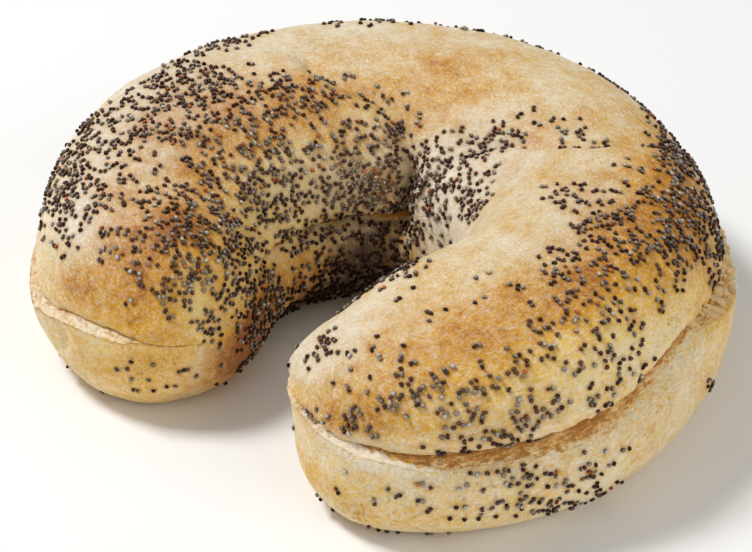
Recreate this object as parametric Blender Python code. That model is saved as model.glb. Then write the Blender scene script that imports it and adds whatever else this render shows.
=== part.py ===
"""Seeded croissant: a curled bread roll with two blunt horns, a burst seam round it and seeds on its crust.

The roll lies on its flat underside, the back of its bend towards +Y and the gap between its horns towards -Y.
A point of the crust has two angles. Its turn goes round the hollow, from 0 at the back of the bend, negative
along the left arm and positive along the right arm. Its around goes round the section of the arm, from 0 at
the outer side over the crest at 90 to the hollow's side at 180, and 270 is underneath.
"""

import random
from collections import namedtuple

import bmesh
import bpy
import numpy as np
from mathutils import Matrix, Vector, noise
from mathutils.bvhtree import BVHTree

OBJECT_NAME = "seeded_croissant"
NODE_NAME = "croissant"

# Lengths below are in millimetres and angles in degrees. MM turns a length into metres.
MM = 0.001

# Sizes of the arm at places along its turn. hollow and outer are the radii of its two sides, crest its height,
# and foot how far the lower body stands into the hollow.
Station = namedtuple("Station", "turn hollow outer crest foot")
STATIONS = (
    Station(turn=-150, hollow=23.3, outer=59.0, crest=37.0, foot=0.3),
    Station(turn=-125, hollow=20.9, outer=69.0, crest=38.5, foot=2.2),
    Station(turn=-95, hollow=17.0, outer=73.0, crest=43.7, foot=4.6),
    Station(turn=-60, hollow=14.5, outer=76.0, crest=46.0, foot=6.8),
    Station(turn=-25, hollow=15.5, outer=76.6, crest=45.2, foot=7.0),
    Station(turn=10, hollow=17.5, outer=76.8, crest=43.8, foot=4.0),
    Station(turn=45, hollow=18.5, outer=72.8, crest=43.2, foot=1.0),
    Station(turn=80, hollow=20.0, outer=72.8, crest=43.7, foot=0.8),
    Station(turn=110, hollow=21.5, outer=72.3, crest=42.5, foot=0.8),
    Station(turn=135, hollow=22.0, outer=69.0, crest=39.5, foot=0.8),
    Station(turn=155, hollow=22.0, outer=62.0, crest=37.0, foot=0.5),
    Station(turn=167, hollow=22.5, outer=56.5, crest=36.0, foot=0.5),
)
STATION_SOFTNESS = 14.0

# The tear on the outer side at places along the turn. rim is the height of the upper crust's torn rim, gape the
# width of the torn crumb below it, inset how far the rim stands in, and shoulder how far the lip below it does.
Tear = namedtuple("Tear", "turn rim gape inset shoulder")
TEARS = (
    Tear(turn=-160, rim=22.4, gape=1.1, inset=1.0, shoulder=0.0),
    Tear(turn=-142, rim=20.6, gape=1.4, inset=1.6, shoulder=0.0),
    Tear(turn=-126, rim=15.8, gape=1.4, inset=1.6, shoulder=0.0),
    Tear(turn=-90, rim=18.5, gape=1.2, inset=0.9, shoulder=0.0),
    Tear(turn=-30, rim=19.5, gape=1.2, inset=0.8, shoulder=0.0),
    Tear(turn=20, rim=20.5, gape=1.2, inset=0.9, shoulder=0.0),
    Tear(turn=45, rim=21.5, gape=1.6, inset=1.4, shoulder=0.2),
    Tear(turn=58, rim=22.6, gape=2.2, inset=3.0, shoulder=0.6),
    Tear(turn=70, rim=24.0, gape=2.4, inset=4.4, shoulder=0.8),
    Tear(turn=79, rim=26.8, gape=1.6, inset=4.4, shoulder=2.4),
    Tear(turn=87, rim=28.2, gape=1.2, inset=4.0, shoulder=3.6),
    Tear(turn=95, rim=26.4, gape=1.2, inset=3.8, shoulder=3.4),
    Tear(turn=104, rim=24.4, gape=1.8, inset=3.4, shoulder=2.9),
    Tear(turn=126, rim=23.0, gape=2.2, inset=2.9, shoulder=2.2),
    Tear(turn=146, rim=22.3, gape=1.4, inset=2.2, shoulder=1.4),
    Tear(turn=154, rim=22.4, gape=1.3, inset=1.4, shoulder=0.9),
    Tear(turn=160, rim=25.0, gape=1.2, inset=0.8, shoulder=0.5),
    Tear(turn=167, rim=26.5, gape=1.1, inset=0.2, shoulder=0.2),
)
TEAR_SOFTNESS = 4.0

LEFT_END = -160.0
RIGHT_END = 165.2
CAP_TURN = 26.0
CAP_SHARE = 0.14
CAP_BLUNTNESS = 0.9
CAP_HEIGHT_BLUNTNESS = 0.81
LEFT_END_LIFT = 3.0
RIGHT_END_LIFT = 6.0

# The section is widest at this share of its height. Above and below it is a rounded box, a little fuller below,
# and the lower one would reach under the tray by UNDERSIDE, which the flat underside cuts off.
WIDEST_SHARE = 0.40
UPPER_FULLNESS = 2.25
LOWER_FULLNESS = 2.5
UNDERSIDE = 1.18

# The torn seam goes in by SEAM_NOTCH behind the rim, the crust bulges by EDGE_CURL over it, and the lip below
# it bulges by LIP_ROLL. The seam in the hollow is narrow, and opens and closes over two spans of turn.
INNER_SEAM_HEIGHT = 22.6
INNER_SEAM_GAPE = 0.7
INNER_SEAM_OPENING = (-141.0, -125.0)
INNER_SEAM_CLOSING = (-8.0, 4.0)
SEAM_NOTCH = 1.8
SEAM_REACH = 16.0
EDGE_CURL = 0.7
EDGE_CURL_HEIGHT = 2.0
LIP_ROLL = 0.9
LIP_ROLL_DEPTH = 4.5
SHOULDER_DEPTH = 3.2
CLOSED_REACH = 8.0

# A fold is a line on the crust with a groove along it. Past its right hand side, as one follows its points,
# the crust stands higher by its step, which fades out over its reach.
Fold = namedtuple("Fold", "points depth width step reach")
FOLDS = (
    Fold(points=((-52, 100), (-44, 110), (-27, 124), (-15, 142), (-10, 154), (-12, 168)),
         depth=2.4, width=2.6, step=-1.4, reach=16.0),
    Fold(points=((24, 132), (28, 122), (39, 109), (45, 91), (43, 65), (40, 50)),
         depth=0.9, width=1.6, step=-1.8, reach=14.0),
    Fold(points=((-132, 78), (-117, 96), (-104, 108)),
         depth=0.6, width=2.2, step=0.8, reach=8.0),
)
MM_PER_TURN = 0.8
MM_PER_AROUND = 0.45

# Broad swells and hollows of the crust: where they are, how far they spread before and after their turn and
# round the section, and their lift.
Swell = namedtuple("Swell", "turn around before after spread_around lift")
SWELLS = (
    Swell(turn=-70, around=112, before=24, after=24, spread_around=26, lift=1.0),
    Swell(turn=10, around=140, before=14, after=14, spread_around=26, lift=-2.0),
    Swell(turn=32, around=75, before=8, after=8, spread_around=30, lift=-0.5),
    Swell(turn=98, around=62, before=20, after=20, spread_around=26, lift=0.8),
    Swell(turn=-100, around=48, before=24, after=24, spread_around=24, lift=0.9),
    Swell(turn=166, around=75, before=9, after=9, spread_around=50, lift=2.6),
    Swell(turn=154, around=-40, before=10, after=10, spread_around=22, lift=1.0),
    Swell(turn=6, around=157, before=9, after=55, spread_around=30, lift=6.2),
    Swell(turn=122, around=128, before=44, after=22, spread_around=27, lift=4.6),
)
LUMP_SIZE = 17.0
LUMP_LIFT = 0.7

# Rows of faces between the marks of a section, from the middle of the underside by the outer side, the crest
# and the hollow's side back to the underside. The foot ends where the wall leaves the flat underside, and each
# seam has a ledge a hair wide under its torn edge and one row for its torn crumb.
FOOT_ROWS = 2
WALL_ROWS = 5
CRUST_ROWS = 8
SEAM_ROWS = 2
SECTION_ROWS = 2 * (FOOT_ROWS + WALL_ROWS + CRUST_ROWS + SEAM_ROWS)
LENGTH_ROWS = 70
FOOT_ANGLE = 48.0
LEDGE_ANGLE = 0.4

# The seeds of the crust that the solid has, spread where the roll is strewn with them.
SEED_COUNT = 200
SEED_RADIUS = 0.62
SEED_LIFT = 0.12
SEED_SPACING = 3.4
SEED_DRAW = 24
STRAY_SEEDS = 0.04
SEED_LENGTHS = (0.03, 0.97)
SEED_AROUNDS = (-40.0, 220.0)
Patch = namedtuple("Patch", "turn around spread_turn spread_around seeds")
SEED_PATCHES = (
    Patch(turn=-108, around=45, spread_turn=26, spread_around=40, seeds=1.0),
    Patch(turn=-75, around=92, spread_turn=22, spread_around=22, seeds=0.8),
    Patch(turn=-148, around=105, spread_turn=14, spread_around=38, seeds=0.8),
    Patch(turn=-60, around=150, spread_turn=40, spread_around=24, seeds=0.6),
    Patch(turn=2, around=145, spread_turn=14, spread_around=24, seeds=1.0),
    Patch(turn=52, around=45, spread_turn=18, spread_around=26, seeds=1.0),
    Patch(turn=10, around=30, spread_turn=60, spread_around=16, seeds=0.6),
    Patch(turn=85, around=75, spread_turn=16, spread_around=30, seeds=0.6),
    Patch(turn=128, around=38, spread_turn=18, spread_around=16, seeds=0.5),
    Patch(turn=115, around=-8, spread_turn=28, spread_around=14, seeds=0.5),
    Patch(turn=-70, around=200, spread_turn=50, spread_around=18, seeds=0.6),
)
EDGE_CLEARANCE = 1.6
TRAY_CLEARANCE = 3.0

CRUST_COLOUR = (0.72, 0.47, 0.22, 1.0)
CRUST_ROUGHNESS = 0.62


def along(name, turn, places=STATIONS, softness=STATION_SOFTNESS):
    """One of the sizes given at places, at turn, softened so that the places leave no kinks."""
    marks = np.array([place.turn for place in places], dtype=float)
    sizes = np.array([getattr(place, name) for place in places], dtype=float)
    offsets = np.linspace(-softness, softness, 9)
    weights = np.exp(-(1.5 * offsets / softness) ** 2)
    weights /= weights.sum()
    return sum(share * np.interp(turn + offset, marks, sizes) for share, offset in zip(weights, offsets))


def torn(name, turn):
    """One of the tear's sizes at turn."""
    return along(name, turn, TEARS, TEAR_SOFTNESS)


def arm_position(length):
    """Turn, and how much of the full section is left, at a share of the roll's length from 0 to 1."""
    left = np.clip(length / CAP_SHARE, 0.0, 1.0) * np.pi / 2
    right = np.clip((1.0 - length) / CAP_SHARE, 0.0, 1.0) * np.pi / 2
    middle = np.clip((length - CAP_SHARE) / (1.0 - 2.0 * CAP_SHARE), 0.0, 1.0)
    straight = RIGHT_END - LEFT_END - 2.0 * CAP_TURN
    turn = LEFT_END + CAP_TURN * (1.0 - np.cos(left)) + straight * middle + CAP_TURN * np.cos(right)
    return turn, np.minimum(np.sin(left), np.sin(right))


def seam_angle(turn, seam_height):
    """How far above the widest line of the section a height lies, as an angle round the section."""
    crest = along("crest", turn)
    share = (seam_height - WIDEST_SHARE * crest) / (crest * (1.0 - WIDEST_SHARE))
    return np.degrees(np.arcsin(np.clip(share, 0.0, 1.0) ** (UPPER_FULLNESS / 2.0)))


def at_turn(radius, turn, height):
    """Point at a radius from the middle of the hollow."""
    angle = np.radians(turn)
    return np.stack([radius * np.sin(angle), radius * np.cos(angle), height], axis=-1)


def plain_surface(length, around):
    """Points of the smooth roll, before its seam, folds and swells, with the spine point behind each."""
    turn, fullness = arm_position(length)
    hollow, outer, crest = (along(name, turn) for name in ("hollow", "outer", "crest"))
    middle = (outer + hollow) / 2.0
    widest = WIDEST_SHARE * crest
    sine = np.sin(np.radians(around))
    cosine = np.cos(np.radians(around))
    upper = sine > 0.0
    power = 2.0 / np.where(upper, UPPER_FULLNESS, LOWER_FULLNESS)
    across = (outer - hollow) / 2.0 * np.sign(cosine) * np.abs(cosine) ** power * fullness ** CAP_BLUNTNESS
    rise = np.where(upper, crest - widest, -UNDERSIDE * widest)
    rise = rise * np.abs(sine) ** power * fullness ** CAP_HEIGHT_BLUNTNESS
    rise = rise + np.where(turn < 0.0, LEFT_END_LIFT, RIGHT_END_LIFT) * (1.0 - fullness) ** 2
    points = at_turn(middle + across, turn, np.maximum(widest + rise, 0.0))
    spine_turn = np.clip(turn, LEFT_END + CAP_TURN, RIGHT_END - CAP_TURN)
    return points, at_turn(middle, spine_turn, widest)


def soft_step(start, end, amount):
    """From 0 to 1 without a corner as amount goes from start to end."""
    share = np.clip((amount - start) / (end - start), 0.0, 1.0)
    return share * share * (3.0 - 2.0 * share)


def torn_seam(height, gape, inset, shoulder, stand):
    """Outward shift of the surface at a height over the crust's torn rim, for the crust and the body below."""
    curl = EDGE_CURL * np.exp(-(((height - EDGE_CURL_HEIGHT) / EDGE_CURL_HEIGHT) ** 2))
    crust = curl - inset * np.exp(-np.maximum(height, 0.0) / SEAM_REACH)
    tear = np.clip(1.0 + height / gape, 0.0, 1.0)
    depth = np.maximum(-height - gape, 0.0)
    wall = stand + LIP_ROLL * np.exp(-depth / LIP_ROLL_DEPTH) - shoulder * np.exp(-depth / SHOULDER_DEPTH)
    body = wall - (wall + inset + SEAM_NOTCH) * tear
    return np.where(height >= 0.0, crust, body)


def closed_seam(height, stand):
    """Outward shift where the seam in the hollow is closed, and the body below only stands out."""
    return stand * (1.0 - np.exp(np.minimum(height, 0.0) / CLOSED_REACH))


def seam_shift(turn, around):
    """Outward shift of the surface by the seam on the outer side and the one in the hollow."""
    outer_edge = seam_angle(turn, torn("rim", turn))
    inner_edge = 180.0 - seam_angle(turn, INNER_SEAM_HEIGHT)
    outer_height = (around - outer_edge) * MM_PER_AROUND
    inner_height = (inner_edge - around) * MM_PER_AROUND
    foot = along("foot", turn)
    outer_shift = torn_seam(outer_height, torn("gape", turn), torn("inset", turn), torn("shoulder", turn), 0.0)
    inner_torn = torn_seam(inner_height, INNER_SEAM_GAPE, 0.0, foot + LIP_ROLL, foot)
    inner_open = soft_step(*INNER_SEAM_OPENING, turn) * (1.0 - soft_step(*INNER_SEAM_CLOSING, turn))
    inner_closed = closed_seam(inner_height, foot)
    return np.where(around < 90.0, outer_shift, inner_closed + (inner_torn - inner_closed) * inner_open)


def fold_shift(fold, turn, around):
    """Lift of the crust by a fold: a groove along its line and a step past its right hand side."""
    spots = np.stack([turn * MM_PER_TURN, around * MM_PER_AROUND], axis=-1)
    marks = np.array(fold.points, dtype=float) * (MM_PER_TURN, MM_PER_AROUND)
    nearest = np.full(np.shape(turn), np.inf)
    side = np.zeros(np.shape(turn))
    for start, end in zip(marks[:-1], marks[1:]):
        run = end - start
        share = np.clip(((spots - start) @ run) / (run @ run), 0.0, 1.0)
        gap = spots - (start + share[..., None] * run)
        distance = np.linalg.norm(gap, axis=-1)
        hand = run[1] * gap[..., 0] - run[0] * gap[..., 1]
        closer = distance < nearest
        nearest = np.where(closer, distance, nearest)
        side = np.where(closer, hand / np.linalg.norm(run), side)
    groove = -fold.depth * np.exp(-((nearest / fold.width) ** 2))
    step = fold.step * 0.5 * (1.0 + np.tanh(side / fold.width)) * np.exp(-((nearest / fold.reach) ** 2))
    return groove + step


def swell_shift(turn, around):
    """Lift of the crust by its broad swells."""
    lift = np.zeros(np.shape(turn))
    for swell in SWELLS:
        across = (turn - swell.turn) / np.where(turn < swell.turn, swell.before, swell.after)
        up = (around - swell.around) / swell.spread_around
        lift += swell.lift * np.exp(-(across ** 2) - up ** 2)
    return lift


def lumps(points):
    """Lift of the surface by the uneven swelling of the dough."""
    return np.array([LUMP_LIFT * noise.noise(Vector(point) / LUMP_SIZE) for point in points])


def roll_surface(length, around):
    """Points of the whole roll in millimetres, for flat arrays of places on it."""
    turn, _ = arm_position(length)
    points, spine = plain_surface(length, around)
    half_width = (along("outer", turn) - along("hollow", turn)) / 2.0
    away = points - spine
    sideways = away * (1.0, 1.0, 0.0) / half_width[:, None]
    lift = swell_shift(turn, around) + sum(fold_shift(fold, turn, around) for fold in FOLDS) + lumps(points)
    lift *= np.clip(points[:, 2] / TRAY_CLEARANCE, 0.0, 1.0)
    outward = away / np.maximum(np.linalg.norm(away, axis=1), 1e-6)[:, None]
    shaped = points + sideways * seam_shift(turn, around)[:, None] + outward * lift[:, None]
    shaped[:, 2] = np.maximum(shaped[:, 2], 0.0)
    return shaped


def section_angles(turn):
    """Around angle of every row of a section at turn, with rows along both edges of both seams."""
    outer_edge = float(seam_angle(turn, torn("rim", turn)))
    inner_edge = 180.0 - float(seam_angle(turn, INNER_SEAM_HEIGHT))
    outer_lip = outer_edge - float(torn("gape", turn)) / MM_PER_AROUND
    inner_lip = inner_edge + INNER_SEAM_GAPE / MM_PER_AROUND
    spans = (
        (-90.0, -FOOT_ANGLE, FOOT_ROWS),
        (-FOOT_ANGLE, outer_lip, WALL_ROWS),
        (outer_lip, outer_edge - LEDGE_ANGLE, 1),
        (outer_edge - LEDGE_ANGLE, outer_edge + LEDGE_ANGLE, 1),
        (outer_edge + LEDGE_ANGLE, 90.0, CRUST_ROWS),
        (90.0, inner_edge - LEDGE_ANGLE, CRUST_ROWS),
        (inner_edge - LEDGE_ANGLE, inner_edge + LEDGE_ANGLE, 1),
        (inner_edge + LEDGE_ANGLE, inner_lip, 1),
        (inner_lip, 180.0 + FOOT_ANGLE, WALL_ROWS),
        (180.0 + FOOT_ANGLE, 270.0, FOOT_ROWS),
    )
    return np.concatenate([np.linspace(start, end, rows, endpoint=False) for start, end, rows in spans])


def make_body():
    """The roll's body: a sphere with its poles at the horns' ends, warped into the crescent."""
    body = bmesh.new()
    bmesh.ops.create_uvsphere(body, u_segments=SECTION_ROWS, v_segments=LENGTH_ROWS, radius=1.0)
    lengths = []
    arounds = []
    for vertex in body.verts:
        ring = round(LENGTH_ROWS * Vector((0.0, 0.0, 1.0)).angle(vertex.co) / np.pi)
        row = round(SECTION_ROWS * np.arctan2(vertex.co.y, vertex.co.x) / (2.0 * np.pi)) % SECTION_ROWS
        turn, _ = arm_position(ring / LENGTH_ROWS)
        lengths.append(ring / LENGTH_ROWS)
        arounds.append(section_angles(turn)[row])
    points = roll_surface(np.array(lengths), np.array(arounds))
    for vertex, point in zip(body.verts, points):
        vertex.co = point
    bmesh.ops.recalc_face_normals(body, faces=body.faces)
    bmesh.ops.triangulate(body, faces=body.faces)
    return body


def seed_cover(turn, around):
    """How thickly the crust is strewn at a place, from 0 to 1."""
    cover = STRAY_SEEDS
    for patch in SEED_PATCHES:
        across = (turn - patch.turn) / patch.spread_turn
        up = (around - patch.around) / patch.spread_around
        cover += patch.seeds * np.exp(-(across ** 2) - up ** 2)
    return min(1.0, cover)


def seed_places(body):
    """Spots and outward directions of the seeds, drawn at random where the crust is strewn."""
    draw = random.Random(SEED_DRAW)
    crust = BVHTree.FromBMesh(body)
    places = []
    while len(places) < SEED_COUNT:
        length = draw.uniform(*SEED_LENGTHS)
        around = draw.uniform(*SEED_AROUNDS)
        turn = float(arm_position(length)[0])
        outer_gap = (around - float(seam_angle(turn, torn("rim", turn)))) * MM_PER_AROUND
        inner_gap = (180.0 - float(seam_angle(turn, INNER_SEAM_HEIGHT)) - around) * MM_PER_AROUND
        on_tear = -float(torn("gape", turn)) - EDGE_CLEARANCE < outer_gap < EDGE_CLEARANCE
        on_tear = on_tear or -INNER_SEAM_GAPE - EDGE_CLEARANCE < inner_gap < EDGE_CLEARANCE
        if on_tear or draw.random() > seed_cover(turn, around):
            continue
        point = roll_surface(np.array([length]), np.array([around]))[0]
        spot, outward, _, _ = crust.find_nearest(Vector(point))
        crowded = any((spot - other).length < SEED_SPACING for other, _ in places)
        if spot.z < TRAY_CLEARANCE or crowded:
            continue
        places.append((spot, outward))
    return places


def make_object(name, shape, collection):
    """An object in collection, in metres, from a shape in millimetres."""
    bmesh.ops.transform(shape, matrix=Matrix.Scale(MM, 4), verts=shape.verts)
    mesh = bpy.data.meshes.new(name)
    shape.to_mesh(mesh)
    shape.free()
    thing = bpy.data.objects.new(name, mesh)
    collection.objects.link(thing)
    return thing


def make_seeds(places, collection):
    """A small ball for every seed, half sunk in the crust."""
    for number, (spot, outward) in enumerate(places):
        ball = bmesh.new()
        bmesh.ops.create_icosphere(ball, subdivisions=1, radius=SEED_RADIUS)
        bmesh.ops.translate(ball, vec=spot + outward * SEED_LIFT, verts=ball.verts)
        make_object(f"seed_{number:03d}", ball, collection)


def fuse(thing, collection):
    """Join the objects of collection to thing as one solid, and remove them."""
    union = thing.modifiers.new("seeds", "BOOLEAN")
    union.operation = "UNION"
    union.operand_type = "COLLECTION"
    union.collection = collection
    union.solver = "EXACT"
    bpy.context.view_layer.update()
    whole = bpy.data.meshes.new_from_object(thing.evaluated_get(bpy.context.evaluated_depsgraph_get()))
    thing.modifiers.remove(union)
    thing.data = whole
    for seed in list(collection.objects):
        bpy.data.objects.remove(seed)
    bpy.data.collections.remove(collection)


def stand_on_origin(thing):
    """Move the mesh so that the origin is at the middle of its foot."""
    corners = np.array([vertex.co for vertex in thing.data.vertices])
    low = corners.min(axis=0)
    high = corners.max(axis=0)
    middle = (low + high) / 2.0
    thing.data.transform(Matrix.Translation((-middle[0], -middle[1], -low[2])))


def crust_material():
    """Golden baked crust."""
    material = bpy.data.materials.new("golden crust")
    material.use_nodes = True
    shader = material.node_tree.nodes["Principled BSDF"]
    shader.inputs["Base Color"].default_value = CRUST_COLOUR
    shader.inputs["Roughness"].default_value = CRUST_ROUGHNESS
    shader.inputs["Metallic"].default_value = 0.0
    return material


def new_collection(name):
    """A collection of the scene."""
    collection = bpy.data.collections.new(name)
    bpy.context.scene.collection.children.link(collection)
    return collection


def main():
    for thing in list(bpy.data.objects):
        bpy.data.objects.remove(thing)
    body = make_body()
    places = seed_places(body)
    roll = make_object(NODE_NAME, body, new_collection(OBJECT_NAME))
    seeds = new_collection("strewn_seeds")
    make_seeds(places, seeds)
    fuse(roll, seeds)
    stand_on_origin(roll)
    roll.data.materials.clear()
    roll.data.materials.append(crust_material())
    roll.data.shade_smooth()


main()
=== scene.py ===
"""Looks of a seeded crescent roll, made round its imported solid.

The roll is two closed skins. The upper crust is the risen dough above the burst seam, and its torn rim
overhangs. The lower body has the torn crumb under that rim, the floury lip below it, the wall and the flat
underside. Poppy seeds of five colours are strewn over both.

A place on the roll has two angles. Its turn goes round the hollow, from 0 at the back of the bend, negative
along the left arm and positive along the right arm. Its around goes round the section of the arm, from 0 at
the outer side over the crest at 90 to the hollow's side at 180, and 270 is underneath. Lengths that shape
the roll are in millimetres until a skin is finished, and MM turns them into metres.
"""

from collections import namedtuple
from itertools import product

import bmesh
import bpy
import numpy as np
from bpy.props import FloatProperty, FloatVectorProperty, IntProperty, PointerProperty
from bpy.types import Operator, Panel, PropertyGroup
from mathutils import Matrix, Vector, noise
from mathutils.bvhtree import BVHTree
from mathutils.kdtree import KDTree


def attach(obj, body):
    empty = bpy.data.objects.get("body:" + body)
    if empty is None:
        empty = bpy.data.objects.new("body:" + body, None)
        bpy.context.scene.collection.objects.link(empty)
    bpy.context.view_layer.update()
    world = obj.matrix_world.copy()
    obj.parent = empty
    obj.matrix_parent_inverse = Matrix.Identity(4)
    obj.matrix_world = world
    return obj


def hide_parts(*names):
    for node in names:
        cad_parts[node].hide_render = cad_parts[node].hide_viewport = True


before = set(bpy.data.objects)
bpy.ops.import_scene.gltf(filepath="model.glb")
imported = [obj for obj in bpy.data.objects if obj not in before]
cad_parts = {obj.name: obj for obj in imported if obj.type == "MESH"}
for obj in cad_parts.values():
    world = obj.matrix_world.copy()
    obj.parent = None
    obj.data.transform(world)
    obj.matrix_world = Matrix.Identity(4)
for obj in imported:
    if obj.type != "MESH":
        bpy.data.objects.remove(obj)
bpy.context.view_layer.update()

bl_info = {
    "name": "Seeded Crescent Roll",
    "version": (1, 0, 0),
    "blender": (4, 5, 0),
    "location": "View3D > Sidebar > Crescent Roll",
    "description": "Bakes a seeded crescent roll with a burst seam, and sets it on a pale table",
    "category": "Add Mesh",
}

NODE = "croissant"
BODY = "root"
MM = 0.001


def listed(kind, *rows):
    """A table with an entry of a kind for each row of numbers, which are in the order of the kind's names."""
    return tuple(kind(*row) for row in rows)


# Where the middle of the hollow lies in the frame, in millimetres.
HOLLOW_MIDDLE = np.array((0.715, -11.818, 0.0))

# Sizes of the arm at places along its turn. hollow and outer are the radii of its two sides, crest its
# height, and foot how far the lower body stands into the hollow.
Station = namedtuple("Station", "turn hollow outer crest foot")
STATIONS = listed(Station,
    (-150, 23.3, 59, 37, 0.3), (-125, 20.9, 69, 38.5, 2.2), (-95, 17, 73, 43.7, 4.6),
    (-60, 14.5, 76, 46, 6.8), (-25, 15.5, 76.6, 45.2, 7), (10, 17.5, 76.8, 43.8, 4),
    (45, 18.5, 72.8, 43.2, 1), (80, 20, 72.8, 43.7, 0.8), (110, 21.5, 72.3, 42.5, 0.8),
    (135, 22, 69, 39.5, 0.8), (155, 22, 62, 37, 0.5), (167, 22.5, 56.5, 36, 0.5),
)
STATION_SOFTNESS = 14.0
SOFTENING_PARTS = 9
SOFTENING_FALL = 1.5

# The tear on the outer side at places along the turn. rim is the height of the upper crust's torn rim, gape
# the width of the torn crumb below it, inset how far the rim stands in, and shoulder how far the lip below
# it does.
Tear = namedtuple("Tear", "turn rim gape inset shoulder")
TEARS = listed(Tear,
    (-160, 22.4, 1, 1, 0), (-150, 21.6, 1.2, 1.6, 0), (-142, 20.6, 1.4, 1.6, 0), (-134, 18.2, 1.4, 1.6, 0),
    (-126, 15.8, 1.4, 1.6, 0), (-112, 16.5, 1.3, 1.2, 0), (-90, 18.5, 1.2, 0.9, 0),
    (-30, 19.5, 1.2, 0.8, 0), (20, 20.5, 1.2, 0.9, 0), (45, 21.5, 1.6, 1.4, 0.2), (58, 22.6, 2.2, 3, 0.6),
    (70, 24, 2.4, 4.4, 0.8), (79, 26.8, 1.6, 4.4, 2.4), (87, 28.2, 1.5, 4, 3.6), (95, 26.4, 2, 3.8, 3.4),
    (104, 24.4, 3.6, 3.4, 2.9), (114, 23.7, 3.8, 3.2, 2.5), (126, 23, 3.5, 2.9, 2.2),
    (136, 22.6, 3.5, 2.6, 2), (146, 22.3, 2, 2.2, 1.4), (154, 22.4, 1.3, 1.4, 0.9),
    (160, 25, 1.2, 0.8, 0.5), (167, 26.5, 1, 0.2, 0.2),
)
TEAR_SOFTNESS = 4.0

LEFT_END = -160.0
RIGHT_END = 165.2
CAP_TURN = 26.0
CAP_SHARE = 0.14
CAP_BLUNTNESS = 0.9
CAP_HEIGHT_BLUNTNESS = 0.81
LEFT_END_LIFT = 3.0
RIGHT_END_LIFT = 6.0

# The section is widest at this share of its height. Above and below it is a rounded box, a little fuller
# below, and the lower one would reach under the table by UNDERSIDE, which the flat underside cuts off.
WIDEST_SHARE = 0.40
UPPER_FULLNESS = 2.25
LOWER_FULLNESS = 2.5
UNDERSIDE = 1.18
FOOT_ANGLE = 48.0
TABLE_CLEARANCE = 3.0

# The torn seam. NOTCH is how far the crumb goes in behind the rim, EDGE_CURL how far the crust stands out
# over it, and LIP_ROLL how far the lip below does. The seam in the hollow is narrow, but for a wedge near
# its end, and no gape is less than LEAST_GAPE.
INNER_SEAM_HEIGHT = 22.6
INNER_SEAM_GAPE = 0.9
INNER_WEDGE = 1.3
INNER_WEDGE_TURN = -17.0
INNER_WEDGE_SPREAD = 14.0
SEAM_NOTCH = 0.5
INNER_NOTCH = 2.6
SEAM_REACH = 16.0
EDGE_CURL = 0.7
EDGE_CURL_HEIGHT = 2.0
LIP_ROLL = 0.9
LIP_ROLL_DEPTH = 4.5
SHOULDER_DEPTH = 3.2
CLOSED_REACH = 8.0
LEAST_GAPE = 0.15

# The outer seam closes towards the left horn's end, between two shares of the roll's length. The one in the
# hollow opens after that horn and closes again where the bend's flank stands in.
LEFT_CLOSED_SHARE = 0.048
LEFT_OPEN_SHARE = 0.080
INNER_SEAM_START = -141.0
INNER_SEAM_FULL = -125.0
INNER_SEAM_CLOSING = -8.0
INNER_SEAM_END = 4.0
CLOSED_INSET_SHARE = 0.3

# How unevenly the dough tore: the wander of the seam's line, and the teeth of the rim and of the lip. The
# fine teeth come and go along the edge by their SWING, and reach at most FINE_TEETH_MOST of their lift.
SEAM_WANDER = 0.35
SEAM_WANDER_SIZE = 16.0
RIM_TEETH = 1.5
RIM_TEETH_SIZE = 4.0
LIP_TEETH = 0.8
LIP_TEETH_SIZE = 5.0
HOLLOW_TEETH = 0.15
FINE_TEETH_SHARE = 0.45
FINE_TEETH_SIZE = 1.4
FINE_TEETH_RUN = 7.0
FINE_TEETH_MEAN = 0.5
FINE_TEETH_SWING = 2.5
FINE_TEETH_MOST = 1.8

# A fold is a line on the crust with a groove along it. Past its right hand side, as one follows its points,
# the crust stands higher by its step, which fades out over its reach.
Fold = namedtuple("Fold", "points depth width step reach")
FOLDS = (
    Fold(points=((-52, 100), (-44, 110), (-27, 124), (-15, 142), (-10, 154), (-12, 168)),
         depth=2.4, width=2.6, step=-1.4, reach=16.0),
    Fold(points=((24, 132), (28, 122), (39, 109), (45, 91), (43, 65), (40, 50)),
         depth=0.9, width=1.6, step=-1.8, reach=14.0),
    Fold(points=((-132, 78), (-117, 96), (-104, 108)),
         depth=0.6, width=2.2, step=0.8, reach=8.0),
)
FINE_FOLDS = listed(Fold,
    (((27, 126), (33, 116), (38, 109), (43, 98), (45, 88), (44, 76)), 0.5, 0.5, -0.9, 3.0),
    (((-153, 12), (-153.5, 20), (-152, 27), (-153, 33)), 0.5, 0.45, 0.45, 2.5),
    (((-139, 50), (-141.5, 43), (-141, 38)), 0.35, 0.6, 0.25, 2.5),
    (((-141, 37), (-142.6, 30), (-142, 24)), 0.4, 0.6, 0.3, 2.5),
    (((-143.5, 40), (-145, 33), (-146.5, 26)), 0.4, 0.6, 0.3, 2.5),
    (((-136, 44), (-137.5, 36), (-137, 28)), 0.3, 0.7, 0.2, 2.5),
    (((-139, 4), (-140.5, -2), (-139, -8)), 0.6, 0.8, 0.2, 2.5),
    (((-135, 0), (-136.5, -8), (-135.5, -16)), 0.6, 0.8, 0.2, 2.5),
    (((-121, 176), (-118, 182), (-117, 190)), 0.5, 0.5, 0.2, 2.0),
    (((-112, 175), (-110, 184), (-111, 192)), 0.5, 0.5, 0.2, 2.0),
)
MM_PER_TURN = 0.8
MM_PER_AROUND = 0.45

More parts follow.
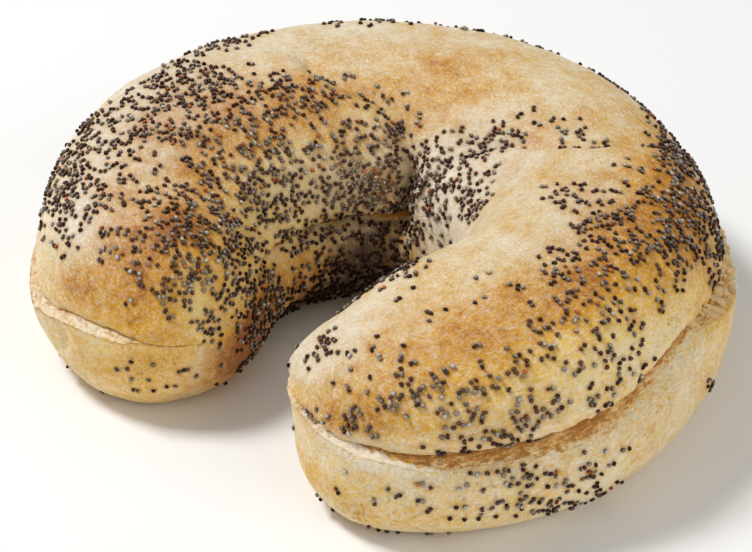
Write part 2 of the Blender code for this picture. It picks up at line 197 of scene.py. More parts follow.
# Broad swells and hollows of the crust: where they are, how far they spread before and after their turn and
# round the section, and their lift.
Swell = namedtuple("Swell", "turn around before after spread_around lift")
SWELLS = listed(Swell,
    (-70, 112, 24, 24, 26, 1), (10, 140, 14, 14, 26, -2), (32, 75, 8, 8, 30, -0.5),
    (98, 62, 20, 20, 26, 0.8), (-100, 48, 24, 24, 24, 0.9), (166, 75, 9, 9, 50, 2.6),
    (154, -40, 10, 10, 22, 1), (6, 157, 9, 55, 30, 6.2), (122, 128, 44, 22, 27, 4.6),
)
LUMP_SIZE = 17.0
LUMP_LIFT = 0.7
DIMPLE_SIZE = 5.5
DIMPLE_LIFT = 0.22
WRINKLE_SIZE = 1.9
WRINKLE_STRETCH = 2.2
FIBRE_LENGTH = 4.0
FIBRE_WIDTH = 0.7
FIBRE_LIFT = 0.22

# The torn crumb is lumpy, and pitted where the tear is widest.
LUMPY_SIZE = 1.5
LUMPY_LIFT = 0.7
PIT_TURN = 68.0
PIT_SPREAD = 13.0
PIT_DEPTH = 1.3
# The crumb is lighter on its lumps and darker between them, partly toasting and partly painted light and
# shade.
LUMP_TOAST_AND_LIGHT = 0.6

# Flour on the torn lip at places along the turn: how far below and above the lip it reaches, and how
# thickly it lies. Its edge wanders by FLOUR_WANDER in waves of the sizes FLOUR_WAVES, and fades out over
# FLOUR_FADES, below and above. FLOUR_BELOW is the share that lies below the lip. No flour is further from
# the outer side than LIP_SIDE.
Dust = namedtuple("Dust", "turn below above amount")
DUST = listed(Dust,
    (-161, 0, 0, 0), (-157, 0.2, 0.6, 0.5), (-153, 0.8, 2, 0.66), (-146, 2, 3, 0.66), (-128, 2.2, 3, 0.66),
    (-116, 0.6, 1, 0.5), (-100, 0, 0, 0), (122, 0, 0, 0), (130, 0.9, 0.1, 0.7), (141, 2.2, 0.9, 1.1),
    (149, 3, 1.5, 1.1), (154, 2.4, 1.8, 1), (159, 2, 1.8, 0.6), (165, 1, 1, 0.4),
)
DUST_SOFTNESS = 2.0
FLOUR_WANDER = 1.5
FLOUR_WAVES = (0.0035, 0.0012)
FLOUR_FADES = (2.4, 0.6)
FLOUR_BELOW = 0.65
LIP_SIDE = 60.0

# How dark the torn crumb is toasted at places along the turn. Round the pit it is kept lighter, partly its
# own colour and partly painted light where the rim shades it. Past TOAST_SIDE, in the hollow, it is as dark
# as it gets.
Toast = namedtuple("Toast", "turn amount")
TOASTS_AND_LIGHT = listed(Toast,
    (-160, 0.7), (-150, 0.2), (-90, 0.4), (45, 0.4), (58, 0.2), (78, 0.05), (90, 0.45), (105, 0.6),
    (125, 0.9), (145, 0.85), (158, 0.3),
)
TOAST_SIDE = 80.0

# Rows of faces round each skin, and rings along it. Rows crowd together towards a torn edge.
LENGTH_RINGS = 700
CRUST_ROWS = 118
BAND_ROWS = 16
WALL_ROWS = 34
FOOT_ROWS = 8
ACROSS_ROWS = 5
EDGE_CROWDING = 0.78
EDGE_CROWD_ROWS = 5.0

# The folded-in edges of the two skins, from the rim inwards: how far in, and how far up.
UNDER_RIM = ((0.22, -0.10), (0.55, -0.10), (1.0, 0.12), (1.7, 0.6), (2.8, 1.3), (4.4, 1.8), (6.5, 2.0))
BEHIND_CRUMB = ((0.5, 0.7), (1.2, 1.5), (2.4, 2.4), (4.5, 2.8))

# A patch of the crust: where it is, how far it spreads and how strong it is. Those of BAKE brown the crust
# over BAKE_LEVEL or, below zero, leave it pale. Those of BUTTER make it richer in fat or, below zero,
# chalkier. Those of STREWN say what share of it the seeds cover, and STREWN_STRAY is the share that stray
# seeds cover elsewhere. The rows of these three tables weren't chosen by hand. A program printed most of
# them, from a fit to how dark, how yellow and how thickly strewn the photographed roll is at each place.
Patch = namedtuple("Patch", "turn around spread_turn spread_around amount")
BAKE_LEVEL = 0.31
# In the hollow, at around 175 and past it, these rows brown the crust partly as baking and partly as painted
# shade, and the row at turn -80, around 205, is painted shade on the hollow's lower wall.
BAKE = listed(Patch,
    (-160, 94, 10, 20, -0.24), (-160, 158, 32, 34, -0.2), (-160, 86, 10, 34, -0.26),
    (-160, 174, 10, 12, -0.3), (-155, 102, 10, 20, -0.13), (-152, 47, 8, 45, 0.38),
    (-150, 142, 18, 20, -0.22), (-148, 10, 10, 9, -0.3), (-145, 54, 10, 34, 0.12), (-142, 92, 13, 39, 0.5),
    (-139, 176, 25, 12, 0.34), (-138, 24, 7, 15, 0.5), (-137, 28, 10, 8, -0.22), (-135, 182, 32, 12, 0.25),
    (-120, 46, 10, 20, -0.22), (-105, 158, 32, 12, -0.18), (-104, 113, 36, 37, 0.39),
    (-100, 142, 18, 20, -0.13), (-95, 134, 10, 12, -0.25), (-93, 153, 24, 24, -0.45),
    (-90, 86, 32, 34, 0.07), (-85, 150, 32, 20, -0.28), (-80, 205, 60, 18, 0.34), (-80, 182, 32, 12, 0.18),
    (-66, 158, 20, 24, -0.45), (-65, 182, 32, 12, 0.25), (-64, 88, 13, 24, -0.16), (-60, 137, 42, 41, 0.5),
    (-50, 158, 18, 12, -0.33), (-50, 182, 32, 34, -0.2), (-35, 182, 32, 20, -0.3),
    (-30, 118, 10, 12, -0.12), (-25, 102, 32, 12, 0.07), (-25, 182, 10, 12, -0.21), (-21, 167, 11, 19, 0.5),
    (-17, 75, 46, 18, -0.06), (-10, 150, 32, 12, -0.23), (-10, 158, 10, 12, -0.17), (-7, 101, 17, 28, 0.27),
    (-5, 110, 10, 12, 0.15), (5, 182, 10, 12, 0.35), (37, 110, 18, 31, 0.2), (38, 167, 39, 21, -0.45),
    (55, 126, 32, 12, 0.14), (56, 56, 26, 21, 0.5), (69, 27, 8, 19, 0.45), (71, 87, 16, 41, 0.17),
    (89, 44, 17, 15, 0.4), (94, 37, 28, 18, -0.39), (94, 75, 24, 17, 0.41), (105, 38, 10, 20, -0.17),
    (105, 46, 18, 20, -0.16), (107, -17, 7, 15, -0.19), (120, -34, 18, 34, -0.22), (120, 78, 32, 20, 0.08),
    (120, 46, 32, 20, -0.07), (128, 78, 8, 10, -0.12), (130, 38, 10, 12, -0.12), (138, 62, 32, 34, 0.5),
    (146, 4, 18, 12, -0.16), (150, -18, 10, 12, 0.12), (151, 26, 10, 8, 0.4), (152, 47, 11, 13, -0.17),
    (153, 40, 13, 15, 0.36), (160, 56, 21, 45, -0.34),
)
BUTTER_LEVEL = 0.15
BUTTER = listed(Patch,
    (-163, -20, 24, 50, 1), (-160, 75, 14, 60, 1), (-160, 150, 18, 34, 0.66), (-160, 142, 18, 34, 0.37),
    (-160, 142, 10, 34, 0.35), (-155, 46, 10, 34, 0.5), (-155, 102, 18, 34, 0.41),
    (-135, 54, 10, 20, -0.41), (-130, 54, 10, 20, -0.48), (-128, 160, 45, 32, 0.9),
    (-110, 62, 32, 20, -0.33), (-105, 110, 10, 12, 0.41), (-100, 84, 45, 40, -0.4), (-95, 70, 32, 34, -0.5),
    (-90, 70, 32, 34, -0.63), (-80, 134, 32, 12, 0.37), (-35, 86, 32, 34, -0.24), (-35, 182, 32, 12, 0.5),
    (-25, 78, 32, 20, -0.3), (-5, 110, 10, 12, 0.58), (0, 182, 18, 12, 0.64), (20, 150, 32, 34, -0.35),
    (20, 150, 32, 20, -0.35), (25, 142, 32, 34, -0.61), (25, 134, 32, 34, -0.4), (25, 94, 10, 20, -0.31),
    (32, 147, 50, 31, -0.5), (70, 30, 18, 34, 0.35), (71, 65, 34, 14, 0.7), (74, 20, 9, 23, 0.9),
    (80, 94, 32, 12, -0.42), (80, 94, 32, 20, -0.34), (86, 48, 20, 16, 0.9), (125, 38, 32, 34, 0.26),
    (125, 118, 32, 12, -0.35), (128, 50, 28, 28, 0.6), (134, -34, 50, 29, 0.4), (151, -12, 12, 15, 0.5),
    (155, 54, 10, 12, -0.45), (155, 86, 32, 34, -0.33), (160, 70, 18, 34, -0.35), (165, 86, 18, 34, -0.76),
)
STREWN_STRAY = 0.012
STREWN = listed(Patch,
    (-153, 82, 6, 20, 0.15), (-150, 110, 8, 30, 0.16), (-150, 118, 8, 30, 0.15), (-145, 127, 17, 40, 0.34),
    (-145, 110, 14, 18, 0.18), (-137, 191, 12, 22, 0.58), (-135, 182, 8, 10, 0.25),
    (-135, 190, 8, 18, 0.22), (-135, 182, 8, 10, 0.2), (-126, 87, 6, 7, 0.18), (-120, 174, 8, 10, -0.2),
    (-115, 14, 26, 30, -0.18), (-114, 48, 18, 24, 0.41), (-113, 126, 19, 15, 0.24),
    (-109, 154, 19, 13, 0.28), (-105, 150, 8, 30, 0.15), (-104, 88, 7, 16, 0.21), (-100, 134, 14, 10, 0.17),
    (-95, 190, 14, 10, 0.21), (-90, 182, 26, 10, 0.12), (-85, 46, 14, 18, -0.22), (-83, 81, 12, 37, 0.33),
    (-80, 180, 45, 7, -0.25), (-75, 194, 45, 19, 0.49), (-65, 62, 26, 30, -0.21), (-65, 62, 8, 18, 0.25),
    (-62, 116, 15, 11, 0.2), (-56, 65, 27, 9, 0.14), (-56, 151, 45, 24, 0.24), (-55, 2, 60, 22, 0.16),
    (-45, 142, 8, 10, 0.2), (-45, 150, 8, 10, 0.17), (-40, 166, 26, 30, 0.17), (-25, 174, 8, 18, 0.15),
    (-20, 166, 8, 18, 0.18), (-20, 174, 8, 10, 0.21), (-18, 174, 20, 7, 0.4), (-12, 30, 44, 22, 0.22),
    (-4, 193, 24, 9, 0.6), (5, 158, 8, 10, 0.23), (9, 154, 24, 20, 0.43), (10, 126, 26, 18, -0.12),
    (20, 62, 26, 30, -0.12), (23, 124, 12, 18, 0.24), (28, -16, 34, 22, 0.12), (37, 94, 9, 7, 0.21),
    (51, 147, 22, 13, 0.32), (57, 50, 25, 17, 0.32), (62, 23, 9, 9, 0.4), (72, 107, 6, 7, 0.16),
    (75, 30, 26, 10, -0.13), (79, 75, 12, 27, 0.21), (80, -18, 26, 30, -0.24), (80, 142, 26, 30, -0.21),
    (82, -12, 8, 14, 0.3), (100, 82, 7, 9, 0.21), (102, 40, 12, 25, 0.13), (110, 64, 6, 7, 0.13),
    (119, -4, 17, 7, 0.16), (120, 126, 8, 10, -0.23), (121, -25, 19, 14, 0.2), (125, -34, 26, 10, 0.14),
    (125, -34, 8, 10, -0.22), (126, 22, 7, 14, 0.25), (133, 46, 14, 12, 0.09), (135, -26, 26, 10, -0.19),
    (145, 126, 26, 10, 0.31), (158, 27, 11, 7, 0.15), (160, 83, 7, 22, 0.24), (160, 102, 8, 30, -0.2),
    (165, 30, 8, 18, -0.2),
)
# Painted shade on the wall deep in the hollow, strongest low on that wall.
HOLLOW_SHADE = listed(Patch, (-46, 222, 48, 42, 1.9), (-14, 198, 30, 20, 0.35), (-100, 222, 26, 18, 1.1))
# Painted shade on the left horn's flank, where it faces the hollow and turns away from the light: the spot in
# millimetres, its reach and amount.
FlankShade = namedtuple("FlankShade", "spot reach amount")
FLANK_SHADES = listed(FlankShade, ((-8.0, -40.0, 8.5), 11.0, 0.8), ((-11.0, -33.0, 9.0), 7.0, 0.5))

# The finishes' patterns: the size of their grain in metres, their detail and their roughness.
Pattern = namedtuple("Pattern", "grain detail roughness")
CLOUDS = Pattern(0.009, 2.0, 0.75)
MOTTLE = Pattern(0.0018, 3.0, 0.9)
PORES = Pattern(0.0011, 3.0, 0.9)
# The flecks are partly pale specks of the skin and partly painted glints, and the glints are painted glints.
FLECKS_AND_GLINTS = Pattern(0.00045, 2.0, 0.55)
GLINTS = Pattern(0.0005, 2.0, 0.7)
STREAKS = Pattern(0.0008, 4.0, 0.7)
FRAY = Pattern(0.0007, 3.0, 0.8)
FLOUR_GRAINS = Pattern(0.0008, 4.0, 0.7)
SKIN_GRAINS = Pattern(0.0006, 5.0, 0.6)
GRIT = Pattern(0.0005, 3.0, 0.7)
SEED_MOTTLE = Pattern(0.0004, 2.0, 0.55)
TABLE_CLOUDS = Pattern(0.05, 2.0, 0.55)

# How much those that run along the arm are stretched, how much the patterns change the baking and the
# richness, and where on their scale a look starts and is full.
FLECK_AND_GLINT_STRETCH = 0.75
GLINT_STRETCH = 0.65
STREAK_STRETCH = 0.3
BAKE_STOPS = (0.0, 0.3, 0.52, 0.78, 1.0)
TORN_STOPS = (0.05, 0.5, 1.0)
CLOUD_BAKING = 0.85
MOTTLE_BAKING = 0.9
CLOUD_RICHNESS = 1.2
PORE_RICHNESS = 4.0
CHALKIEST = -1.25
# How strongly painted shade darkens the skin round each seed.
SEED_SHADING = 0.5
# How much the clouds vary the painted shade deep in the hollow.
CLOUD_HOLLOW_SHADE = 0.6
FRAYING = 0.8
FLOUR_PATCHINESS = 2.6
FLOUR_COVER = 0.85
FLECK_AND_GLINT_BAND = (0.5, 0.7)
GLINT_BAND = (0.42, 0.68)
HOLLOW_SHADE_BAND = (0.1, 1.0)
TORN_BAND = (0.05, 0.4)
DUSTED_BAND = (0.25, 0.95)
FLOURED_BAND = (0.02, 0.2)

# The hairline where the seam is closed, and the browned edge of the left arm's rim.
HAIRLINE_END = -112.0
HAIRLINE_FADE = 10.0
HAIRLINE_WIDTH = 0.4
HAIRLINE_BROWNING = 0.45

# Seeds in the hollow, on its wall of HOLLOW_WALL, are darkened by painted shade up to the height after it.
# Below BARE_FOOT there are none, and they lie in clumps, with bare crust between.
HOLLOW_WALL = 8.0
HOLLOW_SHADE_HEIGHT = 17.0
BARE_FOOT = 0.8
CLUMP_SIZE = 4.0
CLUMP_SHARE = 0.75
CLUMP_SWING = 2.2
CLUMP_LIMITS = (0.05, 2.6)

# Strewing: a seed's share of the crust, the least gap between two seeds' middles, and how many are drawn to
# touch a seed that already lies there. The crust round a seed is darkened by painted shade, out to the
# reach given below. A seed is a ball that is notched and bent to a kidney.
SEED_COVER = 0.50
SEED_GAP = 0.74
TOUCHING_SHARE = 0.30
TOUCHING_GAPS = (0.78, 1.02)
SEED_SHADE_REACH = 0.75
SEED_TILT = 0.35
SEED_UNEVENNESS = 0.09
STREW_SEED = 11
SEED_AROUND = 8
SEED_TALL = 5
SEED_NOTCH = 0.16
SEED_NOTCH_WIDTH = 0.2
SEED_BEND = 0.35
SEED_SHIFT = 0.04

# How light a seed is: its base, and what its mottling, its crown and its own tint add. What the crown adds is
# painted light on top and painted shade underneath, and in the hollow the tint is lowered as painted shade.
# Its coat is netted.
SEED_LEVEL = -0.35
SEED_MOTTLING = 0.7
CROWN_PAINTED_LIGHT = 0.85
TINT_LIGHTNESS = 0.4
HOLLOW_SHADE_ON_SEEDS = 2.0
SEED_STOPS = (0.38, 0.62, 0.83, 1.0)
SEED_NET_SIZE = 0.00017
SEED_NET_LIFT = 0.00004

# The seeds' kinds: their name, their share of all seeds and their size beside the common one.
SeedKind = namedtuple("SeedKind", "name share size")
SEED_KINDS = (
    SeedKind(name="slate", share=0.36, size=1.0),
    SeedKind(name="charcoal", share=0.30, size=1.0),
    SeedKind(name="umber", share=0.22, size=0.97),
    SeedKind(name="ash", share=0.08, size=1.03),
    SeedKind(name="rust", share=0.04, size=0.92),
)


def srgb(red, green, blue):
    """A colour in the shader's numbers, from a paint chart's numbers of 0 to 255."""
    share = np.array((red, green, blue)) / 255.0
    straight = np.where(share <= 0.04045, share / 12.92, ((share + 0.055) / 1.055) ** 2.4)
    return (*(float(part) for part in straight), 1.0)


def colour(name, description, default):
    """A colour that a user can change."""
    return FloatVectorProperty(name=name, description=description, default=default, size=4, min=0.0, max=1.0,
                               subtype="COLOR")


def size(name, description, default, most):
    """A length in metres that a user can change."""
    return FloatProperty(name=name, description=description, default=default, min=0.0, max=most, precision=5,
                         unit="LENGTH", subtype="DISTANCE")


def share(name, description, default):
    """A share between 0 and 1 that a user can change."""
    return FloatProperty(name=name, description=description, default=default, min=0.0, max=1.0,
                         subtype="FACTOR")


class CrustLooks(PropertyGroup):
    """Relief and colours of the crust."""

    wrinkle: size("Wrinkles", "Height of the fine wrinkles of the skin", 0.00009, 0.002)
    grain: size("Grain", "Height of the finest grain of the skin", 0.00010, 0.002)
    dough: colour("Dough", "Skin that the oven left pale", srgb(245, 227, 190))
    straw: colour("Straw", "Lightly baked skin", srgb(228, 205, 160))
    gold: colour("Gold", "Golden skin", srgb(221, 183, 119))
    tan: colour("Tan", "Browned skin", srgb(203, 147, 68))
    brown: colour("Brown", "Skin baked darkest", srgb(158, 90, 26))
    butter: colour("Butter", "Pale skin that is rich in fat", srgb(252, 221, 150))
    corn: colour("Corn", "Lightly baked skin that is rich in fat", srgb(241, 200, 120))
    honey: colour("Honey", "Golden skin that is rich in fat", srgb(227, 178, 92))
    amber: colour("Amber", "Browned skin that is rich in fat", srgb(203, 146, 64))
    flour: colour("Flour", "Dusting on the torn lip", srgb(255, 242, 218))
    crumb: colour("Crumb", "Torn crumb in the seam", srgb(246, 214, 160))
    crumb_gold: colour("Golden crumb", "Torn crumb a little toasted", srgb(222, 170, 88))
    crumb_brown: colour("Toasted crumb", "Torn crumb where it browned", srgb(184, 120, 44))
    # Painted shade deep in the hollow.
    singed: colour("Singed", "Skin deep in the hollow", srgb(60, 33, 12))
    # Painted shade on the skin round each seed.
    stain: colour("Stain", "Skin browned beside a seed", srgb(186, 118, 44))
    roughness: share("Roughness", "How matt the skin is", 0.46)


class SeedLooks(PropertyGroup):
    """Size and colours of the seeds."""

    length: size("Length", "Length of a common seed", 0.00103, 0.003)
    width: size("Width", "Width of a common seed", 0.00090, 0.003)
    height: size("Height", "Height of a common seed", 0.00083, 0.003)
    sunk: share("Sunk", "Share of a seed's height that is in the crust", 0.22)
    cover: FloatProperty(name="Cover", description="How thickly the seeds lie beside the roll in the photo",
                         default=1.0, min=0.0, max=1.5)
    draw: IntProperty(name="Draw", description="Number that picks another strewing", default=STREW_SEED,
                      min=0)
    slate: colour("Slate", "Blue grey seeds", srgb(124, 112, 98))
    charcoal: colour("Charcoal", "Near black seeds", srgb(66, 48, 38))
    umber: colour("Umber", "Purple brown seeds", srgb(78, 47, 34))
    ash: colour("Ash", "Pale grey seeds", srgb(160, 155, 142))
    # Painted shade on the underside of every seed, and the darkest tone of its coat.
    underside_shade: colour("Husk", "Dark underside of every seed", srgb(30, 12, 4))
    rust: colour("Rust", "Red brown seeds", srgb(158, 86, 38))


class StageLooks(PropertyGroup):
    """Table, lights and camera."""

    table: colour("Table", "Colour of the table", srgb(251, 251, 250))
    key_power: FloatProperty(name="Key", default=8.6, min=0.0,
                             description="Power of the large soft lamp at the upper left, in watts")
    fill_power: FloatProperty(name="Fill", description="Power of the soft lamp at the right, in watts",
                              default=3.2, min=0.0)
    sky: FloatProperty(name="Room", description="Brightness of the white room", default=0.34, min=0.0)
    distance: size("Distance", "From the camera to the roll", 0.5123, 5.0)
    lens: FloatProperty(name="Lens", description="Focal length in millimetres", default=121.94, min=10.0)


# ------------------------------------------------------------------------------------------ the roll's form


def along(name, turn, places=STATIONS, softness=STATION_SOFTNESS):
    """One of the sizes given at places, at turn, softened so that the places leave no kinks."""
    marks = np.array([place.turn for place in places], dtype=float)
    sizes = np.array([getattr(place, name) for place in places], dtype=float)
    offsets = np.linspace(-softness, softness, SOFTENING_PARTS)
    weights = np.exp(-(SOFTENING_FALL * offsets / softness) ** 2)
    weights /= weights.sum()
    return sum(part * np.interp(turn + offset, marks, sizes) for part, offset in zip(weights, offsets))


def torn(name, turn):
    """One of the tear's sizes at turn."""
    return along(name, turn, TEARS, TEAR_SOFTNESS)


def arm_position(length):
    """Turn, and how much of the full section is left, at a share of the roll's length from 0 to 1."""
    left = np.clip(length / CAP_SHARE, 0.0, 1.0) * np.pi / 2
    right = np.clip((1.0 - length) / CAP_SHARE, 0.0, 1.0) * np.pi / 2
    middle = np.clip((length - CAP_SHARE) / (1.0 - 2.0 * CAP_SHARE), 0.0, 1.0)
    straight = RIGHT_END - LEFT_END - 2.0 * CAP_TURN
    turn = LEFT_END + CAP_TURN * (1.0 - np.cos(left)) + straight * middle + CAP_TURN * np.cos(right)
    return turn, np.minimum(np.sin(left), np.sin(right))


def seam_angle(turn, seam_height):
    """How far above the widest line of the section a height lies, as an angle round the section."""
    crest = along("crest", turn)
    rise = (seam_height - WIDEST_SHARE * crest) / (crest * (1.0 - WIDEST_SHARE))
    return np.degrees(np.arcsin(np.clip(rise, 0.0, 1.0) ** (UPPER_FULLNESS / 2.0)))


def at_turn(radius, turn, height):
    """Point at a radius from the middle of the hollow."""
    angle = np.radians(turn)
    return np.stack([radius * np.sin(angle), radius * np.cos(angle), height], axis=-1)


def plain_surface(length, around):
    """Points of the smooth roll, before its seam, folds and swells, with the spine point behind each."""
    turn, fullness = arm_position(length)
    hollow, outer, crest = (along(name, turn) for name in ("hollow", "outer", "crest"))
    middle = (outer + hollow) / 2.0
    widest = WIDEST_SHARE * crest
    sine = np.sin(np.radians(around))
    cosine = np.cos(np.radians(around))
    upper = sine > 0.0
    power = 2.0 / np.where(upper, UPPER_FULLNESS, LOWER_FULLNESS)
    across = (outer - hollow) / 2.0 * np.sign(cosine) * np.abs(cosine) ** power * fullness ** CAP_BLUNTNESS
    rise = np.where(upper, crest - widest, -UNDERSIDE * widest)
    rise = rise * np.abs(sine) ** power * fullness ** CAP_HEIGHT_BLUNTNESS
    rise = rise + np.where(turn < 0.0, LEFT_END_LIFT, RIGHT_END_LIFT) * (1.0 - fullness) ** 2
    points = at_turn(middle + across, turn, np.maximum(widest + rise, 0.0))
    spine_turn = np.clip(turn, LEFT_END + CAP_TURN, RIGHT_END - CAP_TURN)
    return points, at_turn(middle, spine_turn, widest)


def soft_step(amount):
    """From 0 to 1 without a corner as amount goes from 0 to 1."""
    amount = np.clip(amount, 0.0, 1.0)
    return amount * amount * (3.0 - 2.0 * amount)


def rough(points, grain, start=0.0):
    """Soft random heights between about -1 and 1 at points, with bumps of the size of grain."""
    places = np.asarray(points, dtype=float) / grain + start
    heights = [noise.noise(Vector(place)) for place in places.reshape(-1, 3)]
    return np.array(heights).reshape(places.shape[:-1])


def teeth(length, lift, grain, start):
    """Uneven heights of a torn edge at shares of the roll's length."""
    turn, _ = arm_position(length)
    edge = at_turn(along("outer", turn), turn, np.zeros(np.shape(turn)))
    coarse = rough(edge, grain, start)
    run = FINE_TEETH_MEAN + FINE_TEETH_SWING * rough(edge, FINE_TEETH_RUN, start + 9.0)
    fine = rough(edge, FINE_TEETH_SIZE, start + 7.0) * np.clip(run, 0.0, FINE_TEETH_MOST)
    return lift * ((1.0 - FINE_TEETH_SHARE) * coarse + FINE_TEETH_SHARE * fine)


Seam = namedtuple("Seam", "edge gape inset stand shoulder open sign")


def outer_seam(length):
    """The seam on the outer side, at shares of the roll's length."""
    turn, _ = arm_position(length)
    wander = teeth(length, SEAM_WANDER, SEAM_WANDER_SIZE, 3.0)
    edge = seam_angle(turn, torn("rim", turn)) + wander / MM_PER_AROUND
    open_share = soft_step((length - LEFT_CLOSED_SHARE) / (LEFT_OPEN_SHARE - LEFT_CLOSED_SHARE))
    inset = torn("inset", turn) * (CLOSED_INSET_SHARE + (1.0 - CLOSED_INSET_SHARE) * open_share)
    gape = torn("gape", turn) * open_share
    return Seam(edge, gape, inset, 0.0 * turn, torn("shoulder", turn), open_share, 1.0)


def inner_seam(length):
    """The seam in the hollow, which turns into the outer one at the horns' ends."""
    turn, fullness = arm_position(length)
    end = (1.0 - fullness) ** 2
    wander = teeth(length, SEAM_WANDER, SEAM_WANDER_SIZE, 5.0)
    edge = 180.0 - seam_angle(turn, INNER_SEAM_HEIGHT) + wander / MM_PER_AROUND
    opening = soft_step((turn - INNER_SEAM_START) / (INNER_SEAM_FULL - INNER_SEAM_START))
    closing = soft_step((INNER_SEAM_END - turn) / (INNER_SEAM_END - INNER_SEAM_CLOSING))
    foot = along("foot", turn) * (1.0 - end)
    inset = torn("inset", turn) * end * CLOSED_INSET_SHARE
    wedge = INNER_WEDGE * np.exp(-(((turn - INNER_WEDGE_TURN) / INNER_WEDGE_SPREAD) ** 2))
    return Seam(edge, INNER_SEAM_GAPE + wedge, inset, foot, foot + LIP_ROLL, opening * closing, -1.0)


def crust_shift(seam, height):
    """Outward shift of the upper crust at a height over its torn rim."""
    curl = EDGE_CURL * np.exp(-(((height - EDGE_CURL_HEIGHT) / EDGE_CURL_HEIGHT) ** 2))
    return curl * seam.open - seam.inset * np.exp(-np.maximum(height, 0.0) / SEAM_REACH)


def wall_shift(seam, depth):
    """Outward shift of the lower body's wall at a depth under its lip."""
    roll = LIP_ROLL * np.exp(-depth / LIP_ROLL_DEPTH)
    torn_wall = seam.stand + roll - seam.shoulder * np.exp(-depth / SHOULDER_DEPTH)
    closed = seam.stand - (seam.inset + seam.stand) * np.exp(-depth / CLOSED_REACH)
    return closed + (torn_wall - closed) * seam.open


def crumb_shift(seam, rise):
    """Outward shift of the torn crumb at a share of its width, from 0 at the lip to 1 behind the rim."""
    lip = wall_shift(seam, 0.0)
    notch = -seam.inset - (SEAM_NOTCH if seam.sign > 0.0 else INNER_NOTCH) * seam.open
    return lip + (notch - lip) * rise


def fold_shift(fold, turn, around):
    """Lift of the crust by a fold: a groove along its line and a step past its right hand side."""
    spots = np.stack([turn * MM_PER_TURN, around * MM_PER_AROUND], axis=-1)
    marks = np.array(fold.points, dtype=float) * (MM_PER_TURN, MM_PER_AROUND)
    nearest = np.full(np.shape(turn), np.inf)
    side = np.zeros(np.shape(turn))
    for start, end in zip(marks[:-1], marks[1:]):
        run = end - start
        part = np.clip(((spots - start) @ run) / (run @ run), 0.0, 1.0)
        gap = spots - (start + part[..., None] * run)
        distance = np.linalg.norm(gap, axis=-1)
        hand = run[1] * gap[..., 0] - run[0] * gap[..., 1]
        closer = distance < nearest
        nearest = np.where(closer, distance, nearest)
        side = np.where(closer, hand / np.linalg.norm(run), side)
    groove = -fold.depth * np.exp(-((nearest / fold.width) ** 2))
    step = fold.step * 0.5 * (1.0 + np.tanh(side / fold.width)) * np.exp(-((nearest / fold.reach) ** 2))
    return groove + step


def patches(places, turn, around):
    """Sum of soft patches at places on the roll."""
    total = np.zeros(np.shape(turn))
    for patch in places:
        across = (turn - patch.turn) / patch.spread_turn
        up = (around - patch.around) / patch.spread_around
        total += patch[-1] * np.exp(-(across ** 2) - up ** 2)
    return total


def swells(turn, around):
    """Lift of the crust by its broad swells."""
    total = np.zeros(np.shape(turn))
    for swell in SWELLS:
        across = (turn - swell.turn) / np.where(turn < swell.turn, swell.before, swell.after)
        up = (around - swell.around) / swell.spread_around
        total += swell.lift * np.exp(-(across ** 2) - up ** 2)
    return total


def relief(points, turn, around, wrinkle):
    """Lift of the crust by its swells, folds, lumps, dimples and wrinkles."""
    lift = swells(turn, around)
    for fold in FOLDS + FINE_FOLDS:
        lift += fold_shift(fold, turn, around)
    lift += LUMP_LIFT * rough(points, LUMP_SIZE) + DIMPLE_LIFT * rough(points, DIMPLE_SIZE, 40.0)
    stretched = points * (1.0, 1.0, 1.0 / WRINKLE_STRETCH)
    return lift + wrinkle * rough(stretched, WRINKLE_SIZE, 80.0)


# ---------------------------------------------------------------------------------------------- skin making

# One row of places round a skin: the around angle, the outward shift, how far it is folded in and up, how
# deep in the torn crumb it lies, from skin (0) to behind the rim (1), and its height over the lip or rim.
Row = namedtuple("Row", "around shift fold_in fold_up crumb height")


def crowded_steps(count):
    """Shares from 0 to 1 of count steps, which are shorter near both ends."""
    number = np.arange(count)
    near_end = np.exp(-number / EDGE_CROWD_ROWS) + np.exp(-(count - 1 - number) / EDGE_CROWD_ROWS)
    steps = 1.0 - EDGE_CROWDING * near_end
    return np.concatenate([[0.0], np.cumsum(steps) / steps.sum()])


def folded_in(seam, around, shift, folds):
    """Rows that go from an edge into the dough."""
    return [Row(around, shift, inwards, up, 1.0, 0.0 * shift) for inwards, up in folds]


def upper_crust_rows(length):
    """Rows of the upper crust, from its outer rim over the crest to the inner rim and back inside."""
    outer = outer_seam(length)
    inner = inner_seam(length)
    outer_teeth = teeth(length, RIM_TEETH, RIM_TEETH_SIZE, 11.0)
    inner_teeth = teeth(length, 0.5 * RIM_TEETH, RIM_TEETH_SIZE, 13.0)
    outer_edge = outer.edge + outer_teeth * outer.open / MM_PER_AROUND
    inner_edge = inner.edge + inner_teeth * inner.open / MM_PER_AROUND
    rows = []
    for part in crowded_steps(CRUST_ROWS):
        around = outer_edge + (inner_edge - outer_edge) * part
        over_outer = (around - outer_edge) * MM_PER_AROUND
        over_inner = (inner_edge - around) * MM_PER_AROUND
        shift = np.where(around < 90.0, crust_shift(outer, over_outer), crust_shift(inner, over_inner))
        rows.append(Row(around, shift, 0.0, 0.0, 0.0, np.minimum(over_outer, over_inner)))
    inside = folded_in(inner, inner_edge, crust_shift(inner, 0.0), UNDER_RIM)
    inside += [None] * ACROSS_ROWS
    inside += folded_in(outer, outer_edge, crust_shift(outer, 0.0), UNDER_RIM)[::-1]
    return rows + inside


def crumb_rows(seam, lip_height, edge):
    """Rows of the torn crumb, from above the lip to behind the rim and on under the crust."""
    rows = []
    for number in range(1, BAND_ROWS + 1):
        part = number / BAND_ROWS
        around = edge - seam.sign * lip_height * (1.0 - part) / MM_PER_AROUND
        rows.append(Row(around, crumb_shift(seam, part), 0.0, 0.0, seam.open * part, lip_height * part))
    return rows + folded_in(seam, edge, crumb_shift(seam, 1.0), BEHIND_CRUMB)


